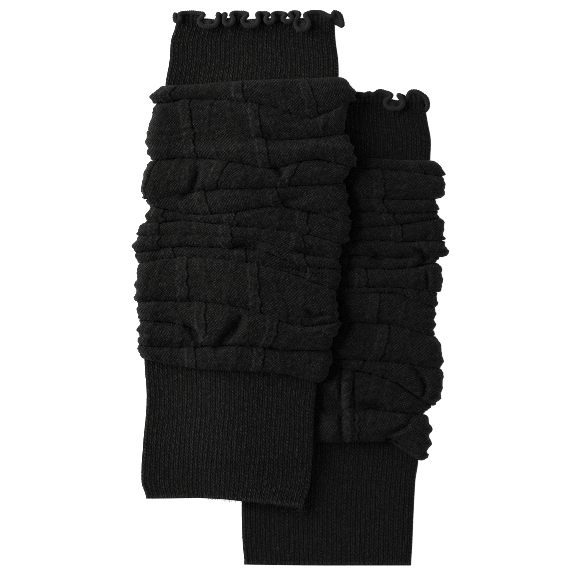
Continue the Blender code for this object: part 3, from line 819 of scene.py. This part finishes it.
def shader_sums(tree):
    """Plain functions that add, subtract and so on, for numbers and sockets of one node tree."""
    def using(operation):
        def node(first, second=0.5, third=0.5):
            links = {"i0": first, "i1": second, "i2": third}
            return add_node(tree, "ShaderNodeMath", {"operation": operation}, **links).outputs[0]
        return node
    return [using(name) for name in ("ADD", "SUBTRACT", "MULTIPLY", "MAXIMUM", "MINIMUM", "SINE")]


def noise(tree, cloth, size, detail, **more):
    """Soft blotches on the cloth; a larger size makes them finer."""
    return add_node(tree, "ShaderNodeTexNoise", Vector=cloth, Scale=size, Detail=detail,
                    **more).outputs["Fac"]


def stretch(tree, value, low, high, to_low=0.0, to_high=1.0):
    """value moved from the range low to high to another one, and kept inside it."""
    return add_node(tree, "ShaderNodeMapRange", {"clamp": True}, Value=value, From_Min=low,
                    From_Max=high, To_Min=to_low, To_Max=to_high).outputs[0]


def uneven_stitches(tree, cloth, size, amount):
    """A random lightness for every stitch, plus finer fluff."""
    add, subtract, multiply, *_ = shader_sums(tree)
    cell = add_node(tree, "ShaderNodeTexVoronoi", Vector=cloth, Scale=1.0 / size)
    grey = add_node(tree, "ShaderNodeSeparateColor", Color=cell.outputs["Color"]).outputs[0]
    fluff = noise(tree, cloth, 1.1, 3.0, Roughness=0.7)
    return multiply(subtract(add(grey, multiply(fluff, 1.4)), 1.2), amount)


def finish_yarn(tree, height, distance, dark_below, light_above, light=YARN_LIGHT):
    """Colour the yarn by its height, with painted shade where it lies low between the stitches, and
    raise it by distance in mm.
    """
    colour = add_node(tree, "ShaderNodeMix", {"data_type": "RGBA"},
                      i0=stretch(tree, height, dark_below, light_above),
                      i6=linear(STITCH_GAP_PAINTED_SHADE), i7=linear(light))
    shader = tree.nodes["Principled BSDF"]
    tree.links.new(colour.outputs[2], shader.inputs["Base Color"])
    bump = add_node(tree, "ShaderNodeBump", Strength=1.0, Distance=distance * MM, Height=height)
    tree.links.new(bump.outputs["Normal"], shader.inputs["Normal"])


# %% Patterned knit of the bodies
TWILL_ALONG = 1.9        # mm from one diagonal to the next along a row
TWILL_DOWN = 2.0         # and down a column
DOT_ALONG = 2.3          # mm between the dots of the purl strips
DOT_DOWN = 1.9


def make_body_knit(name, distance, dark_below, light_above, light, line_painted_shade):
    """Diagonal ground, dotted purl strips with a painted highlight on their edges, and painted
    shade in the sunk lines.
    """
    material, tree, cloth, purl = knit_shader(name)
    add, subtract, multiply, larger, smaller, sine = shader_sums(tree)

    def wave(value, period):
        return sine(multiply(value, 2.0 * math.pi / period))

    place = add_node(tree, "ShaderNodeSeparateXYZ", Vector=cloth)
    u, v = add(place.outputs["X"], noise(tree, cloth, 0.3, 1.0)), place.outputs["Y"]
    down = multiply(v, TWILL_ALONG / TWILL_DOWN)
    up_right, up_left = wave(add(u, down), TWILL_ALONG), wave(subtract(u, down), TWILL_ALONG)
    cross = stretch(tree, noise(tree, cloth, 0.11, 0.0), 0.42, 0.66, 0.25, 0.9)
    clear = stretch(tree, noise(tree, cloth, 0.42, 1.0), 0.36, 0.64, 0.4, 1.45)
    ground = multiply(add(multiply(up_right, 1.1), multiply(up_left, cross)), clear)
    dots = add(multiply(multiply(wave(u, DOT_ALONG), wave(v, DOT_DOWN)), 0.7), 0.5)
    knit = add_node(tree, "ShaderNodeMix", {"data_type": "FLOAT"},
                    i0=smaller(larger(purl, 0.0), 1.0), i2=ground, i3=dots)
    # painted highlight along the band edges, painted shade in the sunk lines beside the bands
    edge, sunk = larger(subtract(purl, 1.0), 0.0), smaller(purl, 0.0)
    lines = add(multiply(edge, 1.3), multiply(sunk, line_painted_shade))
    stitches = add(add(knit.outputs[0], lines), uneven_stitches(tree, cloth, 0.9, 1.4))
    finish_yarn(tree, stitches, distance, dark_below, light_above, light)
    return material


def make_rib_knit(name, distance, dark_below, light_above, light):
    """The rib's stitches are in the mesh; they only take their tone from its raised values, which
    carry painted light and shade.
    """
    material, tree, cloth, raised = knit_shader(name)
    add, *_ = shader_sums(tree)
    stitches = add(raised, uneven_stitches(tree, cloth, 1.0, 0.7))
    finish_yarn(tree, stitches, distance, dark_below, light_above, light)
    return material


def make_rim_yarn():
    """Fluffy overlock yarn, with no stitches to see."""
    material, tree, cloth, _ = knit_shader("black overlock yarn")
    fluff = noise(tree, cloth, 1.5, 4.0, Roughness=0.75)
    finish_yarn(tree, fluff, distance=0.3, dark_below=0.25, light_above=1.0)
    set_inputs(tree.nodes["Principled BSDF"], Sheen_Weight=0.1)
    return material


left_knit = make_body_knit("left black patterned knit", distance=0.17, dark_below=0.35,
                           light_above=2.8, light=YARN_LIGHT, line_painted_shade=2.0)
# Painted shade: the right leg warmer's knit is painted darker and lower in contrast than the left
# one's, for the shade it lies in.
right_knit = make_body_knit("right black patterned knit", distance=0.11, dark_below=0.12,
                            light_above=3.2, light=YARN_TOP_IN_PAINTED_SHADE, line_painted_shade=1.3)
left_rib = make_rib_knit("left black rib knit", distance=0.18, dark_below=0.05,
                         light_above=1.95, light=YARN_LIGHT)
# Painted shade: the right rib is painted darker and lower in contrast too.
right_rib = make_rib_knit("right black rib knit", distance=0.1, dark_below=-0.1,
                          light_above=2.55, light=YARN_TOP_IN_PAINTED_SHADE)
rim_yarn = make_rim_yarn()
print(len(bpy.data.materials), "materials")


# %% Both bodies
def place_piece(piece, node):
    """Hand a finished length of cloth to the frame, in place of its solid."""
    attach(piece, "root")
    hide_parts(node)


left_body = make_body("left_body_cloth", LEFT_FOLDS, left_base, unpressed, LEFT_WRINKLES,
                      left_knit, plain_side=0.09)
right_body = make_body("right_body_cloth", RIGHT_FOLDS, right_base, right_press, RIGHT_WRINKLES,
                       right_knit, plain_side=0.08)
place_piece(left_body, "left_body")
place_piece(right_body, "right_body")

# %% [markdown]
# ## The ribbed cuffs
#
# A 1x1 rib has one column of knit stitches that stands up and one of purl stitches that sinks
# back, over and over. Each knit stitch is a V of two yarn legs. At 3.1 mm a rib there is room
# for both in the mesh: eight columns a rib and five rows a course.


# %% Rib stitches
LINE_PLACE = 0.1         # across a rib, from 0 at its left to 1
DASH_PLACE = 0.6
DASH_HALF = 0.26
DASH_LEAN = 0.45         # of a course, down to the right
LINE_RISE, DASH_RISE = 0.25, 0.4       # mm that the two legs of a stitch stand out
LINE_TONE, DASH_TONE, DEEP_PAINTED_SHADE = 1.15, 1.45, -0.4    # painted light and shade: the legs painted lighter as painted highlight, the yarn between them darker as painted shade
MOST_COURSES = 64
STITCH_EVENNESS = RANDOM.uniform(0.7, 1.15, (2, RIBS_ACROSS + 2, MOST_COURSES))
STITCH_START = RANDOM.uniform(0.0, 1.0, RIBS_ACROSS + 2)


def rib_stitches(share, v):
    """Height of the rib's stitches across the front of a cuff, and how light their yarn is painted,
    with painted shade between the legs.

    Of each knit stitch's two legs the left one lies along the rib, in one thin line with those
    above and below it, and the right one leans and shows as a slanted dash.
    """
    phase = np.clip(share, 0.0, 1.0) * RIBS_ACROSS
    rib = phase.astype(int)
    course = v / COURSE + STITCH_START[rib]
    number = np.clip(course, 0, MOST_COURSES - 1).astype(int)
    line_evenness, dash_evenness = STITCH_EVENNESS[:, rib, number]
    place = phase % 1.0
    raised = np.clip(1.0 - ((place - 0.43) / 0.5) ** 4, 0.0, 1.0)
    line = np.exp(-((place - LINE_PLACE) / 0.085) ** 2) * line_evenness
    beside = (place - DASH_PLACE) / DASH_HALF
    slant = 0.5 + 0.5 * np.cos(2.0 * np.pi * (course - DASH_LEAN * beside))
    dash = np.exp(-beside ** 4) * slant * dash_evenness
    height = 0.4 * RIB_RISE * raised + LINE_RISE * line + DASH_RISE * dash
    # painted highlight on the legs, painted shade between them
    return height, LINE_TONE * line + DASH_TONE * dash + DEEP_PAINTED_SHADE


# %% Skin of a cuff
FREE_LAP = 0.3           # mm that a top cuff's last stitches reach over its lettuce edge


def cuff_skin(down, marks, inside, under, rows, base, open_end):
    """Points of one side of a cuff; down holds the place of each row, from 0 to 1."""
    middles = np.array([np.mean(row.y) for row in rows])
    wanted = mix(middles[0], middles[-1], down)
    order = np.interp(-wanted, -middles, np.linspace(0.0, 1.0, len(rows)))
    left = across([row.left for row in rows], order)
    right = across([row.right for row in rows], order)
    x, distance, _ = spread_marks(left, right, marks, inside)
    lines = np.array([seam_line(row.y, marks) for row in rows])
    spot = order * (len(rows) - 1)
    first = np.minimum(spot.astype(int), len(rows) - 2)
    y = mix(lines[first], lines[first + 1], (spot - first)[:, None])
    if not inside and not under and open_end:
        y[0] += FREE_LAP * ease(0.2, 1.5, distance[0])
    wall = CUFF_WALL if inside else 0.0
    end, radius = (wall, CUFF_CORNER) if under else (CUFF_HEIGHT - wall, CUFF_CORNER)
    if inside and not under:
        radius = INNER_CORNER
    z = base(x, y) + mix(CUFF_HEIGHT / 2.0, end, round_side(distance, radius))
    return np.stack([x, y, z], axis=2)


# %% Building a cuff
CUFF_ROUND = 224.0
RIB_COLUMNS, COURSE_ROWS = 8, 5        # of the grid, for each rib and each course
PLAIN_COLUMNS, PLAIN_ROWS = 41, 9      # of the underside and of the inner skin
RIB_WANDER = 0.0016      # of the cuff's width that a rib strays
COURSE_WANDER = 0.3      # mm that a course strays
YARN_GRAIN = 0.06
HEM_INSET = 1.2          # mm from the cut end of a lower cuff to the chain of its bind-off
HEM_RISE, HEM_TONE = 0.35, 0.45


def make_cuff(name, rows, base, material, open_end=False):
    """rows run down the cuff; a lettuce edge joins an open end."""
    height = np.mean(rows[0].y) - np.mean(rows[-1].y)
    front = np.linspace(0.0, 1.0, RIBS_ACROSS * RIB_COLUMNS + 1)
    back = np.linspace(0.0, 1.0, PLAIN_COLUMNS)
    outer_down = np.linspace(0.0, 1.0, round(height / COURSE) * COURSE_ROWS + 1)
    inner_down = np.linspace(1.0, 0.0, PLAIN_ROWS)
    shape = rows, base, open_end
    outer = whole_skin(cuff_skin, outer_down, front, back, False, *shape)
    inner = whole_skin(cuff_skin, inner_down, front, back, True, *shape)
    share = round_shares(front, back)
    v = np.broadcast_to((outer_down * height)[:, None], outer.shape[:2])
    wander = RIB_WANDER * ripple(BROAD_WAVES, outer[:, :, 0] * 1.4, outer[:, :, 1] * 0.5)
    keep = np.broadcast_to(((share > 0.0) & (share < 0.5)).astype(float), v.shape)
    stitches, tone = rib_stitches(share * 2.0 + wander, v + COURSE_WANDER * soft_grain(v.shape, 3))
    if not open_end:
        hem = np.exp(-((height - HEM_INSET - v) / HEM_INSET) ** 2)
        stitches, tone = stitches + HEM_RISE * hem, tone + HEM_TONE * hem
    outer = add_relief(outer, stitches + YARN_GRAIN * soft_grain(v.shape, 1), keep)
    points = np.concatenate([outer, inner, outer[:1]])
    inner_v = np.append(height + (1.0 - inner_down) * height, 2.0 * height + 2.0)
    all_v = np.concatenate([outer_down * height, inner_v])
    uv = np.stack(np.broadcast_arrays(share[None, :] * CUFF_ROUND, all_v[:, None]), axis=2)
    pattern = np.concatenate([tone * keep, np.zeros((len(inner_v), len(share)))])
    return wrap_cloth(name, points, uv, pattern, material)


def seam_row(fold, shift):
    """The section of a cuff at its seam with a body."""
    return Row(fold.left, fold.right, tuple(value + shift for value in fold.y))


left_seams = seam_row(LEFT_FOLDS[0], SEAM_SHIFT), seam_row(LEFT_FOLDS[-1], -SEAM_SHIFT)
right_seams = seam_row(RIGHT_FOLDS[0], SEAM_SHIFT), seam_row(RIGHT_FOLDS[-1], -SEAM_SHIFT)
left_top = make_cuff("left_top_cuff_cloth", (*LEFT_TOP, left_seams[0]),
                     left_base, left_rib, open_end=True)
left_lower = make_cuff("left_lower_cuff_cloth", (left_seams[1], *LEFT_LOWER),
                       left_base, left_rib)
right_top = make_cuff("right_top_cuff_cloth", (*RIGHT_TOP, right_seams[0]),
                      right_base, right_rib, open_end=True)
right_lower = make_cuff("right_lower_cuff_cloth", (right_seams[1], *RIGHT_LOWER),
                        right_base, right_rib)
place_piece(left_top, "left_top_cuff")
place_piece(left_lower, "left_lower_cuff")
place_piece(right_top, "right_top_cuff")
place_piece(right_lower, "right_lower_cuff")


# %% [markdown]
# ## The lettuce edges
#
# A rolled overlock is sewn round the top of the rib while the cloth is pulled, so the rim ends up
# half as long again as the seam and has to go up and down. Some waves stand out from the cuff,
# and others flop forward over it as open loops. Each row below is one loop; the rim runs through
# a few knots round it, and the cloth follows from the seam to the rim on a smooth curve.

# %% Waves of the rims
# The rows of frills give each loop's centre, half its width, its reach below the seam, how far it
# closes at the top at the left and at the right, and how far the rim stands out before it, in mm.
Knot = namedtuple("Knot", "x y z base")
RIM_RADIUS = 1.6
RIM_RIDGE = 1.25         # from one overlock stitch to the next
RIDGE_RISE, RIM_WAVER = 0.13, 0.1
FRILL_WALL = 1.1
FRILL_DEPTH = 14.0       # of cloth from the seam to the rim
NECK_RISE = 5.6
KNOT_STEPS, BACK_STEPS = 7, 121        # columns from knot to knot, and along the back
STRIP_ROWS, RIM_SIDES = 15, 11
LEAVES_FRONT, LEAVES_BACK = (2.4, 0.9), (0.5, 0.0)    # how the strip sets out from its seam
OPEN_DIP = -2.5          # a loop that reaches less than this is only a wave in the rim
BACK_REST = (1.5, 1.35)  # how far beyond the seam, and how high, the rim runs along the back

LEFT_FRILLS = (
    (-74.6, 1.6, -1.0, 0.7, 0.9, 2.5),
    (-53.7, 6.3, 2.2, 0.55, 1.0, 6.8),
    (-40.3, 3.1, 0.9, 0.7, 0.6, 4.6),
    (-25.7, 5.2, 1.9, 0.4, 0.9, 6.8),
    (-12.9, 2.6, -0.4, 0.4, 0.8, 6.4),
    (-0.9, 3.0, -1.0, 0.5, 0.5, 6.5),
    (8.7, 4.6, 4.1, 0.4, 0.5, 7.0),
    (28.0, 2.0, -4.4, 1.1, 1.1, 7.2),
)
RIGHT_FRILLS = (
    (-6.0, 3.0, -3.0, 0.9, 0.9, 4.0),
    (8.0, 3.5, -2.5, 0.9, 0.9, 5.5),
    (22.0, 3.0, -3.0, 0.9, 0.9, 5.0),
    (36.0, 3.5, -2.0, 0.8, 0.9, 5.5),
    (49.8, 2.2, -6.0, 1.0, 1.0, 6.8),
    (56.0, 1.6, -6.2, 1.0, 1.0, 6.9),
    (70.3, 6.0, 3.0, 0.35, 0.45, 8.3),
    (78.2, 1.6, -2.8, 1.0, 0.9, 4.5),
)
LEFT_FLICK = (           # the rim's last knots, where it turns the corner of the cuff
    Knot(30.4, 7.2, 5.0, 28.4), Knot(34.4, 4.6, 4.6, 29.2),
    Knot(35.6, -1.6, 4.2, 29.7), Knot(32.6, -0.6, 2.6, 30.0),
)
RIGHT_FLICK = (
    Knot(81.5, 8.0, 5.5, 83.5), Knot(87.5, 7.0, 5.4, 87.5), Knot(91.8, 3.2, 5.0, 89.3),
    Knot(92.6, -1.5, 4.4, 89.8), Knot(90.6, -5.0, 3.0, 90.1),
)


def rim_knots(frills, flick, left, lift):
    """The knots of the front rim, from the left side of the cuff to its right side."""
    knots = [Knot(left - 0.8, 1.2, 1.6, left + 0.3)]
    edge = left
    for centre, half, dip, left_neck, right_neck, hump in frills:
        between = (edge + (centre - half)) / 2
        knots.append(Knot(between, hump, lift - 4.4, between))
        if dip < OPEN_DIP:
            knots.append(Knot(centre, -dip, lift - 3.4, centre))
        else:
            for side, neck in ((-half, left_neck), (half, right_neck)):
                loop = [Knot(centre + neck * side, NECK_RISE, lift - 2.2, centre + 0.7 * side),
                        Knot(centre + side, 2.4 - dip / 2, lift - 0.6, centre + 0.45 * side),
                        Knot(centre + 0.55 * side, -dip, lift, centre + 0.18 * side)]
                knots += loop if side < 0.0 else loop[::-1]
        edge = centre + half
    return knots + list(flick)


# %% Building a lettuce edge
def back_rim(rest, swing, turns, first, last, share):
    """A line along the back: from the last knot, wavering about rest, to the first one."""
    line = rest + swing * np.sin(share * turns) + (last - rest) * np.exp(-share * 25.0)
    return mix(line, first, ease(0.96, 1.0, share))


def make_rim(name, edge, outward, material):
    """The rolled rim along the closed line edge, with the ridges of its overlock stitches."""
    lengths = np.concatenate([[0.0], np.cumsum(np.linalg.norm(np.diff(edge, axis=0), axis=1))])
    places = np.linspace(0.0, lengths[-1], round(lengths[-1] / RIM_RIDGE) * 3 + 1)
    path, out = (np.stack([np.interp(places, lengths, line[:, axis]) for axis in range(3)], axis=1)
                 for line in (edge, outward))
    along = np.roll(path, -1, axis=0) - np.roll(path, 1, axis=0)
    along[0] = along[-1] = path[1] - path[-2]
    along = unit(along)
    out -= along * np.sum(out * along, axis=1, keepdims=True)
    out[0] = out[-1] = out[0] + out[-1]
    out = unit(out)
    angle = np.linspace(0.0, 2 * np.pi, RIM_SIDES)[:, None]
    ridges = RIDGE_RISE * np.cos(2 * np.pi * (places / RIM_RIDGE) + angle)
    radius = RIM_RADIUS + ridges + RIM_WAVER * np.sin(places * 0.9)
    rope = path + (radius * np.cos(angle))[:, :, None] * out
    rope = rope + (radius * np.sin(angle))[:, :, None] * np.cross(along, out)
    rope[:, :, 2] = np.maximum(rope[:, :, 2], 0.0)
    uv = np.stack(np.broadcast_arrays(places[None, :], angle * RIM_RADIUS), axis=2)
    print("  rim of", round(float(lengths[-1])), "mm")
    return wrap_cloth(name, rope, uv, np.ones(rope.shape[:2]), material)


def make_lettuce(name, frills, flick, row, base, lift, material, rim_material):
    """The ruffled strip and, as a piece of its own, the rolled rim along it."""
    seam = row.y[0] + SEAM_SHIFT
    left, right = row.left + CUFF_WALL / 2, row.right - CUFF_WALL / 2
    knots = rim_knots(frills, flick, left, lift)
    count = KNOT_STEPS * (len(knots) - 1) + 1
    front_share = np.linspace(0.0, 1.0, count)
    front = [across([knot[axis] for knot in knots], front_share) for axis in range(3)]
    foot = [knot.base for knot in knots]
    foot = np.interp(np.linspace(0, len(knots) - 1, count), range(len(knots)), foot)
    foot = np.clip(foot, left, right)
    share = np.linspace(0.0, 1.0, BACK_STEPS)[1:]
    back = [mix(knots[-1].x, knots[0].x, share),
            back_rim(BACK_REST[0], 0.5, 31.0, knots[0].y, knots[-1].y, share),
            back_rim(BACK_REST[1], 0.15, 47.0, knots[0].z, knots[-1].z, share)]
    back_foot = mix(right, left, share)
    x, y, z = (np.concatenate(parts) for parts in zip(front, back))
    foot_x = np.concatenate([foot, back_foot])
    is_back = np.arange(len(x)) >= count
    side = round_side(np.minimum(foot_x - left, right - foot_x), INNER_CORNER)
    foot_z = CUFF_HEIGHT / 2 + np.where(is_back, -1.0, 1.0) * side * (CUFF_HEIGHT - CUFF_WALL) / 2

    start = np.stack([foot_x, np.full_like(x, seam), foot_z], axis=1)
    end = np.stack([x, seam + y, z], axis=1)
    leaves = [np.where(is_back, *pair) for pair in zip(LEAVES_BACK, LEAVES_FRONT)]
    leaves = np.stack([0.0 * x, *leaves], axis=1)
    bend_y = seam + np.maximum(1.5, 0.75 * y)
    bend = np.stack([mix(foot_x, x, 0.8), bend_y, mix(foot_z, z, 0.85)], axis=1)
    down = np.linspace(0.0, 1.0, STRIP_ROWS)[:, None, None]
    middle = ((1 - down) ** 3 * start + 3 * (1 - down) ** 2 * down * (start + leaves)
              + 3 * (1 - down) * down ** 2 * bend + down ** 3 * end)
    middle[:, :, 2] += base(x, seam + np.zeros_like(x))
    normal = np.cross(np.gradient(middle, axis=1), -np.gradient(middle, axis=0))
    normal[:, -1] = normal[:, 0] = normal[:, 0] + normal[:, -1]
    normal = unit(normal) * FRILL_WALL / 2
    outer, inner = middle + normal, middle - normal
    points = np.concatenate([outer, inner[::-1], outer[:1]])
    u = np.concatenate([foot - left, 2 * (right - left) - (back_foot - left)])
    v = down[:, 0, 0] * FRILL_DEPTH
    v = np.concatenate([v, FRILL_DEPTH + v[-1] - v[::-1], [2.0 * FRILL_DEPTH + 2.0]])
    uv = np.stack(np.broadcast_arrays(u[None, :], v[:, None]), axis=2)
    # painted light and shade of the ribs: knit columns lighter and purl columns darker, on a strip
    # with no rib relief
    ribs = 0.35 + 0.5 * np.cos(2.0 * np.pi * RIBS_ACROSS * (foot_x - left) / (right - left))
    strip = wrap_cloth(name, points, uv, ribs[None, :], material)
    return strip, make_rim(name + "_rim", middle[-1], middle[-1] - middle[-2], rim_material)


LEFT_LIFT, RIGHT_LIFT = 9.0, 8.3       # mm, the height of the loops that lie on the cuff
left_frill, left_rim = make_lettuce(
    "left_lettuce_edge_cloth", LEFT_FRILLS, LEFT_FLICK, LEFT_TOP[0],
    left_base, LEFT_LIFT, left_rib, rim_yarn)
right_frill, right_rim = make_lettuce(
    "right_lettuce_edge_cloth", RIGHT_FRILLS, RIGHT_FLICK, RIGHT_TOP[0],
    right_base, RIGHT_LIFT, right_rib, rim_yarn)
place_piece(left_frill, "left_lettuce_edge")
place_piece(right_frill, "right_lettuce_edge")
for rim, node in ((left_rim, "left_lettuce_edge"), (right_rim, "right_lettuce_edge")):
    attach(rim, "root")

# %% [markdown]
# ## Loose ends
#
# The bind-off of the left one's lower cuff has frayed towards its right corner: thin tubes of
# yarn fibre, each rolled from a small grid.

# %% Frayed hem
FIBRES = 150
FRAY_WIDTH = 62.0        # mm from the right corner to where the hem is whole
FIBRE_RADIUS = 0.15
FIBRE_HEIGHT = (4.6, 5.6)              # above the cuff's underside, in mm
FIBRE_LENGTH = (1.4, 3.2)
CORNER_LENGTH = 3.6      # mm that those at the corner may be longer
CORNER_REACH = 3.2       # mm above the hem where the fibres of the corner may start
HEM = LEFT_LOWER[-1]


def hem_height(x):
    """Y of the left lower cuff's cut end."""
    return float(seam_line(HEM.y, np.array([(x - HEM.left) / (HEM.right - HEM.left)]))[0])


def add_fibre(bm, root, turn, curl, length):
    """One fibre: a grid that is rolled into a tube and bent along an arc."""
    fibre = bmesh.ops.create_grid(bm, x_segments=7, y_segments=4, size=1.0)
    for vertex in fibre["verts"]:
        along, angle = (vertex.co.x + 1.0) / 2.0, vertex.co.y * math.pi
        heading = turn + curl * along
        radius = FIBRE_RADIUS * (1.0 - 0.6 * along)
        sideways, upwards = radius * math.cos(angle), radius * math.sin(angle)
        x = root[0] + length * along * math.sin(heading) + sideways * math.cos(heading)
        y = root[1] - length * along * math.cos(heading) + sideways * math.sin(heading)
        z = root[2] + 2.0 * along * (1.0 - along) - 1.2 * along + upwards
        vertex.co = (x * MM, y * MM, z * MM)


bm = bmesh.new()
for _ in range(FIBRES):
    near_corner = 1.0 - RANDOM.uniform(0.0, 1.0) ** 2.2
    x = HEM.right - 0.5 - FRAY_WIDTH * (1.0 - near_corner)
    y = hem_height(x) + 0.2 + CORNER_REACH * near_corner * RANDOM.uniform(0.0, 1.0)
    z = float(left_base(np.array([x]), np.array([y]))[0]) + RANDOM.uniform(*FIBRE_HEIGHT)
    add_fibre(bm, (x, y, z), RANDOM.normal(0.2, 0.8), RANDOM.normal(0.0, 1.6),
              RANDOM.uniform(*FIBRE_LENGTH)
              + CORNER_LENGTH * near_corner ** 3 * RANDOM.uniform(0.0, 1.0))
bmesh.ops.remove_doubles(bm, verts=bm.verts, dist=0.001 * MM)
bmesh.ops.recalc_face_normals(bm, faces=bm.faces)
fray = add_object("left_lower_cuff_fray", bm, rim_yarn)
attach(fray, "root")
print("frayed hem:", FIBRES, "fibres")
